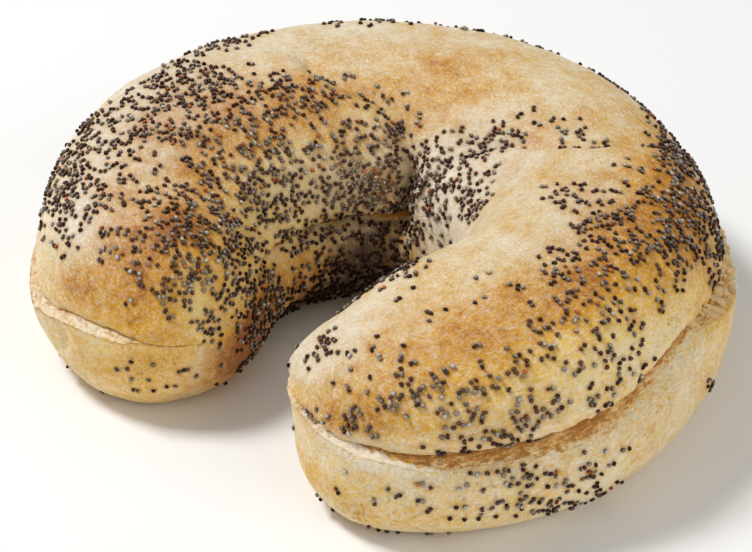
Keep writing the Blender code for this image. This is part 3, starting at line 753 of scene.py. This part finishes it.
def wall_rows(seam, lip, foot_angle):
    """Rows of the wall, from the lip down to the foot."""
    arounds = [lip + (foot_angle - lip) * part for part in crowded_steps(WALL_ROWS)]
    depths = [np.abs(around - lip) * MM_PER_AROUND for around in arounds]
    return [Row(around, wall_shift(seam, depth), 0.0, 0.0, 0.0, -depth)
            for around, depth in zip(arounds, depths)]


def lower_body_rows(length):
    """Rows of the lower body, from its outer lip under it to the inner lip, and back inside."""
    outer = outer_seam(length)
    inner = inner_seam(length)
    outer_teeth = teeth(length, LIP_TEETH, LIP_TEETH_SIZE, 17.0)
    inner_teeth = teeth(length, HOLLOW_TEETH, LIP_TEETH_SIZE, 19.0)
    outer_gape = np.maximum(outer.gape + outer_teeth * outer.open, LEAST_GAPE)
    inner_gape = np.maximum(inner.gape + inner_teeth * inner.open, LEAST_GAPE)
    outer_lip = outer.edge - outer_gape / MM_PER_AROUND
    inner_lip = inner.edge + inner_gape / MM_PER_AROUND
    outer_wall = wall_rows(outer, outer_lip, -FOOT_ANGLE + 0.0 * length)
    inner_wall = wall_rows(inner, inner_lip, 180.0 + FOOT_ANGLE + 0.0 * length)
    foot = []
    for number in range(1, 2 * FOOT_ROWS):
        around = -FOOT_ANGLE - (90.0 - FOOT_ANGLE) * number / FOOT_ROWS
        around = around if around > -90.0 else around + 360.0
        side = outer_wall[-1] if number < FOOT_ROWS else inner_wall[-1]
        foot.append(Row(around + 0.0 * length, side.shift, 0.0, 0.0, 0.0, side.height))
    inner_crumb = crumb_rows(inner, inner_gape, inner.edge)
    outer_crumb = crumb_rows(outer, outer_gape, outer.edge)
    return outer_wall + foot + inner_wall[::-1] + inner_crumb + [None] * ACROSS_ROWS + outer_crumb[::-1]


def fill_across(grid, rows):
    """Put the rows that close a skin inside on straight lines between their neighbours."""
    gaps = [number for number, row in enumerate(rows) if row is None]
    before = grid[:, gaps[0] - 1]
    after = grid[:, (gaps[-1] + 1) % len(rows)]
    for number in gaps:
        part = (number - gaps[0] + 1) / (len(gaps) + 1)
        grid[:, number] = before + (after - before) * part


def skin_grid(rows, length, wrinkle):
    """Points in millimetres and the look of every row of a skin, ring by ring."""
    shape = (len(length), len(rows))
    filled = [row or rows[0] for row in rows]
    parts = ([np.broadcast_to(getattr(row, part), length.shape) for row in filled] for part in Row._fields)
    place = Row(*(np.stack(part, axis=1).ravel() for part in parts))
    lengths = np.repeat(length, len(rows))
    turn, _ = arm_position(lengths)
    points, spine = plain_surface(lengths, place.around)
    half_width = (along("outer", turn) - along("hollow", turn)) / 2.0
    away = points - spine
    sideways = away * (1.0, 1.0, 0.0)
    outward = away / np.maximum(np.linalg.norm(away, axis=1), 1e-6)[:, None]
    inwards = -sideways / np.maximum(np.linalg.norm(sideways, axis=1), 1e-6)[:, None]
    lift = relief(points, turn, place.around, wrinkle)
    fibres = np.stack([turn * MM_PER_TURN / FIBRE_LENGTH, place.around * MM_PER_AROUND / FIBRE_WIDTH,
                       place.shift / FIBRE_WIDTH], axis=-1)
    bare = (place.fold_in == 0.0) * np.where(place.crumb > 0.0, 1.0, 0.5 * np.exp(-np.abs(place.height)))
    bare *= np.where(place.crumb > 0.0, 1.0, place.height < 0.0)
    pits = 1.0 + PIT_DEPTH * np.exp(-(((turn - PIT_TURN) / PIT_SPREAD) ** 2))
    lumps = rough(points, LUMPY_SIZE, 61.0) + 0.5 * rough(points, 0.5 * LUMPY_SIZE, 63.0)
    shift = place.shift + bare * (FIBRE_LIFT * rough(fibres, 1.0, 5.0) + LUMPY_LIFT * pits * lumps)
    lift *= np.clip(points[:, 2] / TABLE_CLEARANCE, 0.0, 1.0)
    shaped = points + sideways / half_width[:, None] * shift[:, None] + outward * lift[:, None]
    shaped += inwards * place.fold_in[:, None]
    shaped[:, 2] = np.maximum(shaped[:, 2] + place.fold_up, 0.0)
    grid = shaped.reshape(*shape, 3)
    fill_across(grid, rows)
    filler = np.tile([row is None for row in rows], len(length))
    looks = {
        "turn": turn.reshape(shape),
        "around": place.around.reshape(shape),
        "crumb": place.crumb.reshape(shape),
        "height": place.height.reshape(shape),
        "lump": (pits ** 2 * lumps).reshape(shape),
        "hidden": ((place.fold_in > 0.0) | filler).reshape(shape),
    }
    return grid, looks


def read(items, name, width=1, kind=np.float32):
    """Values of a mesh's items as an array."""
    values = np.empty(len(items) * width, dtype=kind)
    items.foreach_get(name, values)
    return values.reshape(-1, width) if width > 1 else values


def make_skin(name, make_rows, wrinkle):
    """A closed skin: a sphere with its poles at the horns' ends, warped on the rows that make_rows gives."""
    length = np.linspace(0.0, 1.0, LENGTH_RINGS + 1)
    rows = make_rows(length)
    grid, looks = skin_grid(rows, length, wrinkle)
    ball = bmesh.new()
    bmesh.ops.create_uvsphere(ball, u_segments=len(rows), v_segments=LENGTH_RINGS, radius=1.0)
    mesh = bpy.data.meshes.new(name)
    ball.to_mesh(mesh)
    spots = read(mesh.vertices, "co", 3).astype(float)
    ring = np.rint(LENGTH_RINGS * np.arccos(np.clip(spots[:, 2], -1.0, 1.0)) / np.pi).astype(int)
    row = np.rint(len(rows) * np.arctan2(spots[:, 1], spots[:, 0]) / (2.0 * np.pi)).astype(int) % len(rows)
    row[(ring == 0) | (ring == LENGTH_RINGS)] = 0
    points = (grid[ring, row] + HOLLOW_MIDDLE) * MM
    for vertex, point in zip(ball.verts, points):
        vertex.co = point
    bmesh.ops.recalc_face_normals(ball, faces=ball.faces)
    if ball.calc_volume(signed=True) < 0.0:
        bmesh.ops.reverse_faces(ball, faces=ball.faces)
    bmesh.ops.triangulate(ball, faces=ball.faces, quad_method="SHORT_EDGE")
    ball.to_mesh(mesh)
    ball.free()
    mesh.shade_smooth()
    return mesh, {look: values[ring, row] for look, values in looks.items()}


def clumped(points, cover):
    """Seed cover gathered into clumps, with bare crust between."""
    wave = rough(points, CLUMP_SIZE * MM, 21.0) + 0.6 * rough(points, 0.4 * CLUMP_SIZE * MM, 23.0)
    return cover * np.clip(1.0 + CLUMP_SHARE * CLUMP_SWING * wave, *CLUMP_LIMITS)


def polar(points):
    """Turn in degrees and distance from the middle of the hollow of points in millimetres."""
    away = points - HOLLOW_MIDDLE
    return np.degrees(np.arctan2(away[:, 0], away[:, 1])), np.hypot(away[:, 0], away[:, 1])


def flank_shaded(points):
    """How much browner painted shade makes the crust at points in millimetres, on the left horn's flank."""
    total = np.zeros(len(points))
    for shade_spot in FLANK_SHADES:
        gap = np.linalg.norm(points - shade_spot.spot, axis=1)
        total += shade_spot.amount * np.exp(-((gap / shade_spot.reach) ** 2))
    return total


def keep_looks(mesh, looks):
    """Store on a skin how it is baked, floured, torn and strewn, its painted shade, and the way its grain
    runs.
    """
    points = read(mesh.vertices, "co", 3).astype(float)
    turn, around, crumb, height = (looks[name] for name in ("turn", "around", "crumb", "height"))
    skin = crumb <= 0.0
    lip = (np.abs(around) < LIP_SIDE) * ((crumb > 0.0) | (height < 0.0))
    dust = along("amount", turn, DUST, DUST_SOFTNESS) * lip
    wander = FLOUR_WANDER * (rough(points, FLOUR_WAVES[0], 31.0) + 0.6 * rough(points, FLOUR_WAVES[1], 33.0))
    below = height + along("below", turn, DUST, DUST_SOFTNESS) * (1.0 + 0.5 * wander)
    above = along("above", turn, DUST, DUST_SOFTNESS) + 0.5 * wander - height
    dust *= soft_step(0.5 + below / FLOUR_FADES[0]) * soft_step(0.5 + above / FLOUR_FADES[1])
    toast = np.where(around < TOAST_SIDE, along("amount", turn, TOASTS_AND_LIGHT, TEAR_SOFTNESS), 1.0)
    hairline = HAIRLINE_BROWNING * np.exp(-((height / HAIRLINE_WIDTH) ** 2)) * (around < LIP_SIDE) * skin
    hairline *= soft_step((HAIRLINE_END - turn) / HAIRLINE_FADE)
    strewn = clumped(points, np.maximum(STREWN_STRAY + patches(STREWN, turn, around), 0.0))
    values = {
        # Baking, with painted shade on the left horn's flank and in the hollow.
        "browning": BAKE_LEVEL + patches(BAKE, turn, around) + flank_shaded(points / MM) + hairline,
        "richness": BUTTER_LEVEL + patches(BUTTER, turn, around),
        "flour": dust * np.where(height < 0.0, FLOUR_BELOW, 1.0),
        # Lighter on the crumb's lumps and darker between them: partly toasting, partly painted light and
        # shade.
        "toast": (toast - LUMP_TOAST_AND_LIGHT * looks["lump"]) * np.minimum(4.0 * crumb, 1.0),
        "crumb": crumb,
        "strewn": strewn * skin * (1.0 - looks["hidden"]) * soft_step(points[:, 2] / MM - BARE_FOOT),
        # Painted shade deep in the hollow.
        "singed": patches(HOLLOW_SHADE, turn, around),
    }
    for name, value in values.items():
        layer = mesh.attributes.new(name, "FLOAT", "POINT")
        layer.data.foreach_set("value", value.astype(np.float32))
    turn_there, radius = polar(points / MM)
    grain = np.stack([turn_there * MM_PER_TURN, radius, points[:, 2] / MM], axis=-1) * MM
    layer = mesh.attributes.new("grain", "FLOAT_VECTOR", "POINT")
    layer.data.foreach_set("vector", grain.astype(np.float32).ravel())


# ------------------------------------------------------------------------------------------------- finishes


class Finish:
    """A material that is built up of nodes, with the sums that join them."""

    def __init__(self, name):
        self.material = bpy.data.materials.new(name)
        self.material.use_nodes = True
        self.tree = self.material.node_tree
        self.place = self.node("ShaderNodeTexCoord").outputs["Object"]

    def set(self, sockets, values):
        """Link or set the values on the sockets of their names."""
        for name, value in values.items():
            if isinstance(value, bpy.types.NodeSocket):
                self.tree.links.new(value, sockets[name])
            else:
                sockets[name].default_value = value

    def node(self, kind, inputs=None, **settings):
        """A node of a kind, with its settings and its inputs."""
        made = self.tree.nodes.new(kind)
        for name, value in settings.items():
            setattr(made, name, value)
        self.set(made.inputs, inputs or {})
        return made

    def shade(self, height, lift, strength=1.0, **values):
        """Give the shader its values and its relief, and return the finished material."""
        bump = self.node("ShaderNodeBump", {"Height": height, "Distance": lift, "Strength": strength})
        named = {name.replace("_", " "): value for name, value in values.items()}
        self.set(self.tree.nodes["Principled BSDF"].inputs, {"Normal": bump.outputs["Normal"], **named})
        return self.material

    def kept(self, name, output="Fac"):
        """What the mesh keeps under a name."""
        return self.node("ShaderNodeAttribute", attribute_name=name).outputs[output]

    def reckon(self, operation, first, second=0.0, third=0.0, clamp=False):
        """The result of a sum on sockets or numbers."""
        return self.node("ShaderNodeMath", {0: first, 1: second, 2: third}, operation=operation,
                         use_clamp=clamp).outputs[0]

    def add(self, base, part, share, clamp=False):
        """A base with a share of a part added to it."""
        return self.reckon("MULTIPLY_ADD", part, share, base, clamp)

    def times(self, first, second):
        """One factor times another."""
        return self.reckon("MULTIPLY", first, second)

    def between(self, factor, first, second):
        """A colour between two colours."""
        return self.node("ShaderNodeMix", {0: factor, 6: first, 7: second}, data_type="RGBA").outputs[2]

    def ramp(self, factor, places, tones):
        """A colour ramp with its tones at places."""
        made = self.node("ShaderNodeValToRGB", {"Fac": factor})
        points = made.color_ramp.elements
        while len(points) < len(places):
            points.new(0.5)
        for point, place, tone in zip(points, places, tones):
            point.position = place
            point.color = tone
        return made.outputs["Color"]

    def spread(self, factor, low, high):
        """A factor stretched so that low gives 0 and high gives 1."""
        return self.node("ShaderNodeMapRange", {"Value": factor, "From Min": low, "From Max": high},
                         interpolation_type="SMOOTHSTEP").outputs["Result"]

    def speckle(self, place, pattern):
        """Soft random factor of a pattern."""
        return self.node("ShaderNodeTexNoise", {"Vector": place, "Scale": 1.0 / pattern.grain,
                                                "Detail": pattern.detail,
                                                "Roughness": pattern.roughness}).outputs["Fac"]

    def ripple(self, place, pattern):
        """Soft random number round 0."""
        return self.reckon("SUBTRACT", self.speckle(place, pattern), 0.5)

    def stretched(self, place, stretch):
        """Coordinates stretched along the first axis."""
        return self.node("ShaderNodeVectorMath", {0: place, 1: (stretch, 1.0, 1.0)},
                         operation="MULTIPLY").outputs[0]


def crust_material(looks):
    """Baked skin from pale dough to brown, floury lips and torn crumb, with painted glints and shade."""
    crust = Finish("baked crust")
    place, add, times, spread, between = crust.place, crust.add, crust.times, crust.spread, crust.between
    grain = crust.kept("grain", "Vector")
    depth = crust.kept("crumb")

    clouds = crust.ripple(place, CLOUDS)
    mottle = crust.ripple(place, MOTTLE)
    # The browning carries painted shade too, in the hollow and on the left horn's flank.
    level = add(add(crust.kept("browning"), clouds, CLOUD_BAKING), mottle, MOTTLE_BAKING, clamp=True)
    chalky, fatty = (crust.ramp(level, BAKE_STOPS, tones) for tones in (
        (looks.dough, looks.straw, looks.gold, looks.tan, looks.brown),
        (looks.butter, looks.corn, looks.honey, looks.amber, looks.brown)))
    richness = add(crust.kept("richness"), clouds, CLOUD_RICHNESS)
    paleness = crust.reckon("MINIMUM", crust.reckon("MAXIMUM", richness, CHALKIEST), 0.0)
    richness = add(richness, crust.ripple(place, PORES), PORE_RICHNESS, clamp=True)
    skin = between(richness, chalky, fatty)

    # Pale flecks toward the flour's colour, partly specks of the skin and partly painted glints, more on
    # paler skin.
    flecks_and_glints = spread(crust.speckle(crust.stretched(grain, FLECK_AND_GLINT_STRETCH), FLECKS_AND_GLINTS), *FLECK_AND_GLINT_BAND)
    flecks_and_glints = times(times(flecks_and_glints, add(0.75, level, -0.7, clamp=True)), add(1.0, richness, -0.5))
    skin = between(flecks_and_glints, skin, looks.flour)
    # Painted glints: sparse specks of the skin lose saturation, as if catching the light. Rich skin keeps
    # more.
    glints = spread(crust.speckle(crust.stretched(grain, GLINT_STRETCH), GLINTS), *GLINT_BAND)
    glints = add(add(add(1.10, glints, -0.42), richness, 0.08), paleness, 0.25)
    skin = crust.node("ShaderNodeHueSaturation", {"Saturation": glints, "Color": skin}).outputs["Color"]
    # Painted shade round each seed.
    skin = between(times(crust.kept("stain"), SEED_SHADING), skin, looks.stain)
    # Painted shade deep in the hollow, varied by the clouds.
    singed = add(crust.kept("singed"), clouds, CLOUD_HOLLOW_SHADE)
    skin = between(spread(singed, *HOLLOW_SHADE_BAND), skin, looks.singed)

    streaks = crust.speckle(crust.stretched(grain, STREAK_STRETCH), STREAKS)
    fray = times(crust.reckon("SUBTRACT", streaks, 0.5), 1.6)
    fray = add(fray, crust.ripple(place, FRAY), 0.7)
    # Darker deeper in the tear, towards behind the rim: partly toasting and partly painted shade under the
    # rim.
    toasted_and_shaded = add(add(times(crust.kept("toast"), 0.6), fray, 2.4), depth, 0.5)
    torn = crust.ramp(toasted_and_shaded, TORN_STOPS, (looks.crumb, looks.crumb_gold, looks.crumb_brown))
    tone = between(spread(add(depth, fray, FRAYING), *TORN_BAND), skin, torn)

    floured = crust.kept("flour")
    dusted = add(floured, crust.ripple(place, FLOUR_GRAINS), FLOUR_PATCHINESS)
    dusted = times(times(spread(dusted, *DUSTED_BAND), spread(floured, *FLOURED_BAND)), FLOUR_COVER)
    tone = between(dusted, tone, looks.flour)

    raised = crust.reckon("ADD", crust.speckle(place, SKIN_GRAINS), times(streaks, times(depth, 2.0)))
    raised = crust.reckon("ADD", times(dusted, crust.speckle(place, GRIT)), raised)
    return crust.shade(
        raised, 3.0 * looks.grain, Base_Color=tone, Specular_IOR_Level=0.4,
        Roughness=add(add(looks.roughness, mottle, 0.25), dusted, 0.25, clamp=True),
        Subsurface_Weight=add(0.4, dusted, -0.2), Subsurface_Radius=(1.0, 0.5, 0.2), Subsurface_Scale=0.0009)


def seed_material(kind, tone, looks):
    """Netted seed coat, painted light on its crown and painted shade below, each seed a little different."""
    coat = Finish(f"{kind} seed")
    # dark is painted shade on a seed's lower side, and light is a painted highlight on its crown.
    dark = tuple(0.5 * part + 0.5 * underside_shade for part, underside_shade in zip(tone[:3], looks.underside_shade[:3])) + (1.0,)
    light = tuple(min(1.0, 1.5 * part + 0.03) for part in tone[:3]) + (1.0,)
    level = coat.add(SEED_LEVEL, coat.speckle(coat.place, SEED_MOTTLE), SEED_MOTTLING)
    level = coat.add(coat.add(level, coat.kept("crown"), CROWN_PAINTED_LIGHT), coat.kept("tint"), TINT_LIGHTNESS)
    net = coat.node("ShaderNodeTexVoronoi", {"Vector": coat.place, "Scale": 1.0 / SEED_NET_SIZE},
                    feature="DISTANCE_TO_EDGE")
    return coat.shade(
        net.outputs["Distance"], SEED_NET_LIFT, 0.7, Roughness=0.5, Specular_IOR_Level=0.14,
        Base_Color=coat.ramp(level, SEED_STOPS, (looks.underside_shade, dark, tone, light)))


def table_material(looks):
    """Plain pale table."""
    top = Finish("pale table")
    dull = tuple(0.985 * part for part in looks.table[:3]) + (1.0,)
    cloud = top.speckle(top.place, TABLE_CLOUDS)
    top.set(top.tree.nodes["Principled BSDF"].inputs, {
        "Base Color": top.between(cloud, looks.table, dull), "Roughness": 0.8, "Specular IOR Level": 0.2})
    return top.material


# ---------------------------------------------------------------------------------------------------- seeds


def seed_shape(looks, scale):
    """One kidney-shaped seed: its points, faces and how near its crown each point is."""
    seed = bmesh.new()
    bmesh.ops.create_uvsphere(seed, u_segments=SEED_AROUND, v_segments=SEED_TALL, radius=0.5)
    half = Vector((looks.length, looks.width, looks.height)) * scale
    crowns = []
    for vertex in seed.verts:
        crowns.append(vertex.co.z + 0.5)
        notch = np.exp(-((vertex.co.x / SEED_NOTCH_WIDTH) ** 2)) * max(0.0, vertex.co.y / 0.5) * SEED_NOTCH
        bend = SEED_BEND * vertex.co.x ** 2
        vertex.co = Vector((vertex.co.x, vertex.co.y - notch + bend - SEED_SHIFT, vertex.co.z)) * half
    points = np.array([vertex.co for vertex in seed.verts])
    faces = [[vertex.index for vertex in face.verts] for face in seed.faces]
    seed.free()
    return points, faces, np.array(crowns)


def joined_seeds(name, points, faces, crowns, frames, spots, tints):
    """One mesh of many seeds, each turned by its frame and moved to its spot."""
    count = len(spots)
    places = np.einsum("sij,pj->spi", frames, points) + spots[:, None, :]
    corners = np.concatenate(faces)
    sizes = np.array([len(face) for face in faces])
    offsets = np.arange(count)[:, None] * len(points)
    loop_vertices = (corners[None, :] + offsets).ravel()
    loop_counts = np.tile(sizes, count)
    mesh = bpy.data.meshes.new(name)
    mesh.vertices.add(count * len(points))
    mesh.vertices.foreach_set("co", places.astype(np.float32).ravel())
    mesh.loops.add(len(loop_vertices))
    mesh.loops.foreach_set("vertex_index", loop_vertices.astype(np.int32))
    mesh.polygons.add(len(loop_counts))
    mesh.polygons.foreach_set("loop_start", (np.cumsum(loop_counts) - loop_counts).astype(np.int32))
    mesh.update(calc_edges=True)
    mesh.shade_smooth()
    for label, values in (("tint", np.repeat(tints, len(points))), ("crown", np.tile(crowns, count))):
        layer = mesh.attributes.new(label, "FLOAT", "POINT")
        layer.data.foreach_set("value", values.astype(np.float32))
    return mesh


class Strewing:
    """Spots of the seeds, no two nearer than the least gap."""

    def __init__(self, gap):
        self.gap = gap
        self.cells = {}
        self.spots = []
        self.normals = []

    def lay(self, spot, normal):
        """Keep a spot unless it is too near another."""
        cell = tuple(int(part // self.gap) for part in spot)
        for beside in product(*((part - 1, part, part + 1) for part in cell)):
            if any((self.spots[other] - spot).length < self.gap for other in self.cells.get(beside, ())):
                return False
        self.cells.setdefault(cell, []).append(len(self.spots))
        self.spots.append(spot)
        self.normals.append(normal)
        return True


def skin_faces(skin):
    """Corner points of a skin's triangles, their areas and how thickly each is strewn.

    A new sphere has its faces in another order each time, so they are sorted here, to strew the same seeds
    each run.
    """
    mesh = skin.data
    corners = read(mesh.loops, "vertex_index", kind=np.int32).reshape(-1, 3)
    turned = (corners.argmin(axis=1)[:, None] + np.arange(3)) % 3
    corners = np.take_along_axis(corners, turned, axis=1)
    corners = corners[np.lexsort(corners.T[::-1])]
    points = read(mesh.vertices, "co", 3).astype(float)
    strewn = read(mesh.attributes["strewn"].data, "value").astype(float)
    spots = points[corners]
    areas = np.linalg.norm(np.cross(spots[:, 1] - spots[:, 0], spots[:, 2] - spots[:, 0]), axis=1) / 2.0
    return points, corners, spots, areas * strewn[corners].mean(axis=1), strewn


def strew(skins, looks):
    """Draw the seeds' spots on the skins, as thickly as the crust says."""
    draw = np.random.default_rng(looks.draw)
    laid = Strewing(SEED_GAP * MM)
    for skin in skins:
        points, corners, spots, weights, strewn = skin_faces(skin)
        tree = BVHTree.FromPolygons([Vector(point) for point in points], corners.tolist())
        wanted = len(laid.spots) + int(weights.sum() * looks.cover / (SEED_COVER * MM * MM))
        chances = np.cumsum(weights) / weights.sum()
        while len(laid.spots) < wanted:
            face = int(np.searchsorted(chances, draw.random()))
            first, second = draw.random(2)
            if first + second > 1.0:
                first, second = 1.0 - first, 1.0 - second
            start = spots[face]
            spot = start[0] + first * (start[1] - start[0]) + second * (start[2] - start[0])
            normal = np.cross(start[1] - start[0], start[2] - start[0])
            if not laid.lay(Vector(spot), Vector(normal).normalized()):
                continue
            if draw.random() < TOUCHING_SHARE:
                lay_touching(laid, tree, corners, strewn, draw)
    return np.array(laid.spots), np.array(laid.normals)


def lay_touching(laid, tree, corners, strewn, draw):
    """Lay a seed against the one laid last, where the crust is strewn."""
    normal = laid.normals[-1]
    aside = normal.cross(Vector(draw.normal(size=3))).normalized()
    spot = laid.spots[-1] + aside * float(draw.uniform(*TOUCHING_GAPS)) * MM
    found, outward, face, _ = tree.find_nearest(spot)
    if strewn[corners[face]].min() > 0.0:
        laid.lay(found, outward)


def stain(mesh, spots):
    """Store how strongly painted shade darkens a skin beside the seeds."""
    seeds = KDTree(len(spots))
    for number, spot in enumerate(spots):
        seeds.insert(spot, number)
    seeds.balance()
    nearest = np.array([seeds.find(point)[2] for point in read(mesh.vertices, "co", 3)])
    layer = mesh.attributes.new("stain", "FLOAT", "POINT")
    layer.data.foreach_set("value", np.exp(-(nearest / (SEED_SHADE_REACH * MM)) ** 4).astype(np.float32))


def hollow_shade_at(spots):
    """How much painted shade the hollow puts on spots, by their turn and height."""
    turn, radius = polar(spots / MM)
    inside = radius < along("hollow", turn) + HOLLOW_WALL
    around = 180.0 + FOOT_ANGLE * (1.0 - spots[:, 2] / MM / HOLLOW_SHADE_HEIGHT)
    return patches(HOLLOW_SHADE, turn, np.where(inside, around, 0.0))


def seed_frames(normals, draw):
    """Three axes for every seed: it lies flat, a little tilted, and points anywhere."""
    tilted = normals + SEED_TILT * draw.normal(size=normals.shape) * 0.5
    up = tilted / np.linalg.norm(tilted, axis=1)[:, None]
    long_way = np.cross(up, draw.normal(size=normals.shape))
    long_way /= np.linalg.norm(long_way, axis=1)[:, None]
    sizes = 1.0 + SEED_UNEVENNESS * np.clip(draw.normal(size=(len(normals), 3)), -1.8, 1.8)
    frames = np.stack([long_way, np.cross(up, long_way), up], axis=2)
    return frames * sizes[:, None, :]


# ------------------------------------------------------------------------------------------------ operators


def placed(name, data):
    """A new object in the scene."""
    thing = bpy.data.objects.new(name, data)
    bpy.context.scene.collection.objects.link(thing)
    return thing


def add_piece(mesh, material):
    """Put a finished mesh in the scene as a piece of the roll."""
    mesh.materials.append(material)
    piece = placed(mesh.name, mesh)
    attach(piece, BODY)
    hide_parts(NODE)


def add_crust(looks, name, make_rows):
    """Make a skin and put it in the scene with the crust's finish."""
    mesh, places = make_skin(name, make_rows, looks.wrinkle / MM)
    keep_looks(mesh, places)
    add_piece(mesh, bpy.data.materials.get("baked crust") or crust_material(looks))


class ROLL_OT_upper_crust(Operator):
    """Make the risen upper crust with its torn, overhanging rim"""

    bl_idname = "roll.upper_crust"
    bl_label = "Upper Crust"

    def execute(self, context):
        add_crust(context.scene.roll_crust, "upper_crust", upper_crust_rows)
        return {"FINISHED"}


class ROLL_OT_lower_body(Operator):
    """Make the lower body with its floury lip, torn crumb and flat underside"""

    bl_idname = "roll.lower_body"
    bl_label = "Lower Body"

    def execute(self, context):
        add_crust(context.scene.roll_crust, "lower_body", lower_body_rows)
        return {"FINISHED"}


class ROLL_OT_seeds(Operator):
    """Strew the poppy seeds over the crust, one piece for each colour"""

    bl_idname = "roll.seeds"
    bl_label = "Poppy Seeds"

    def execute(self, context):
        looks = context.scene.roll_seeds
        skins = [bpy.data.objects[name] for name in ("upper_crust", "lower_body")]
        spots, normals = strew(skins, looks)
        # Store the painted shade round the seeds on the skins.
        for skin in skins:
            stain(skin.data, spots)
        spots_shaded = hollow_shade_at(spots)
        draw = np.random.default_rng(looks.draw + 1)
        frames = seed_frames(normals, draw)
        spots = spots + normals * looks.height * (0.5 - looks.sunk)
        spots[:, 2] = np.maximum(spots[:, 2], looks.length / 2.0)
        kinds = draw.choice(len(SEED_KINDS), size=len(spots), p=[kind.share for kind in SEED_KINDS])
        # Painted shade: seeds deep in the hollow get darker tints.
        tints = draw.random(len(spots)) - HOLLOW_SHADE_ON_SEEDS * spots_shaded
        for number, kind in enumerate(SEED_KINDS):
            chosen = kinds == number
            points, faces, crowns = seed_shape(looks, kind.size)
            mesh = joined_seeds(f"{kind.name}_seeds", points, faces, crowns, frames[chosen], spots[chosen],
                                tints[chosen])
            add_piece(mesh, seed_material(kind.name, getattr(looks, kind.name), looks))
        return {"FINISHED"}


# The camera looks at a point a little in front of the roll's middle, from its front right and above. The
# lamps shine on that point from an azimuth and elevation, and are squares of a side in metres.
CAMERA_AIM = Vector((0.003015, -0.013522, 0.0193))
CAMERA_AZIMUTH = 33.7
CAMERA_ELEVATION = 34.4
SENSOR = 36.0
TABLE_HALF = 3.0
LAMP_DISTANCE = 1.1
KEY_FROM = (-71.0, 58.0)
KEY_SIDE = 0.26
FILL_FROM = (85.0, 25.0)
FILL_SIDE = 0.8


def from_aim(azimuth, elevation):
    """Direction from the camera's aim, azimuth 0 towards -Y and elevation above the table."""
    across = np.radians(azimuth)
    up = np.radians(elevation)
    return Vector((np.sin(across) * np.cos(up), -np.cos(across) * np.cos(up), np.sin(up)))


def point_at_roll(thing, direction, distance):
    """Put a lamp or camera at a distance from the camera's aim, and turn it there."""
    thing.location = CAMERA_AIM + direction * distance
    thing.rotation_euler = direction.to_track_quat("Z", "Y").to_euler()


def add_lamp(name, direction, side, power):
    """A square soft lamp that shines on the roll."""
    lamp = bpy.data.lights.new(name, "AREA")
    lamp.shape = "SQUARE"
    lamp.size = side
    lamp.energy = power
    point_at_roll(placed(name, lamp), direction, LAMP_DISTANCE)


class ROLL_OT_stage(Operator):
    """Set the table, the lamps, the white room and the camera"""

    bl_idname = "roll.stage"
    bl_label = "Table and Lights"

    def execute(self, context):
        looks = context.scene.roll_stage
        top = bmesh.new()
        bmesh.ops.create_grid(top, x_segments=1, y_segments=1, size=TABLE_HALF)
        mesh = bpy.data.meshes.new("table")
        top.to_mesh(mesh)
        top.free()
        mesh.materials.append(table_material(looks))
        placed("table", mesh)
        add_lamp("key_lamp", from_aim(*KEY_FROM), KEY_SIDE, looks.key_power)
        add_lamp("fill_lamp", from_aim(*FILL_FROM), FILL_SIDE, looks.fill_power)
        room = bpy.data.worlds.new("white room")
        room.use_nodes = True
        white = room.node_tree.nodes["Background"].inputs
        white["Color"].default_value = (1.0, 1.0, 1.0, 1.0)
        white["Strength"].default_value = looks.sky
        context.scene.world = room
        lens = bpy.data.cameras.new("camera")
        lens.sensor_width = SENSOR
        lens.lens = looks.lens
        lens.clip_start = 0.05
        camera = placed("camera", lens)
        point_at_roll(camera, from_aim(CAMERA_AZIMUTH, CAMERA_ELEVATION), looks.distance)
        context.scene.camera = camera
        context.scene.view_settings.view_transform = "Standard"
        return {"FINISHED"}


class ROLL_PT_panel(Panel):
    """The roll's pieces and what a user can change"""

    bl_idname = "ROLL_PT_panel"
    bl_label = "Seeded Crescent Roll"
    bl_space_type = "VIEW_3D"
    bl_region_type = "UI"
    bl_category = "Crescent Roll"

    def draw(self, context):
        for title, looks, makers in (
            ("Crust", context.scene.roll_crust, (ROLL_OT_upper_crust, ROLL_OT_lower_body)),
            ("Seeds", context.scene.roll_seeds, (ROLL_OT_seeds,)),
            ("Stage", context.scene.roll_stage, (ROLL_OT_stage,)),
        ):
            box = self.layout.box()
            box.label(text=title)
            for name in looks.__annotations__:
                box.prop(looks, name)
            for maker in makers:
                box.operator(maker.bl_idname)


CLASSES = (CrustLooks, SeedLooks, StageLooks, ROLL_OT_upper_crust, ROLL_OT_lower_body, ROLL_OT_seeds,
           ROLL_OT_stage, ROLL_PT_panel)


def register():
    for kind in CLASSES:
        bpy.utils.register_class(kind)
    bpy.types.Scene.roll_crust = PointerProperty(type=CrustLooks)
    bpy.types.Scene.roll_seeds = PointerProperty(type=SeedLooks)
    bpy.types.Scene.roll_stage = PointerProperty(type=StageLooks)


def unregister():
    del bpy.types.Scene.roll_stage
    del bpy.types.Scene.roll_seeds
    del bpy.types.Scene.roll_crust
    for kind in reversed(CLASSES):
        bpy.utils.unregister_class(kind)


def main():
    register()
    bpy.ops.roll.stage()
    bpy.ops.roll.upper_crust()
    bpy.ops.roll.lower_body()
    bpy.ops.roll.seeds()


if __name__ == "__main__":
    main()
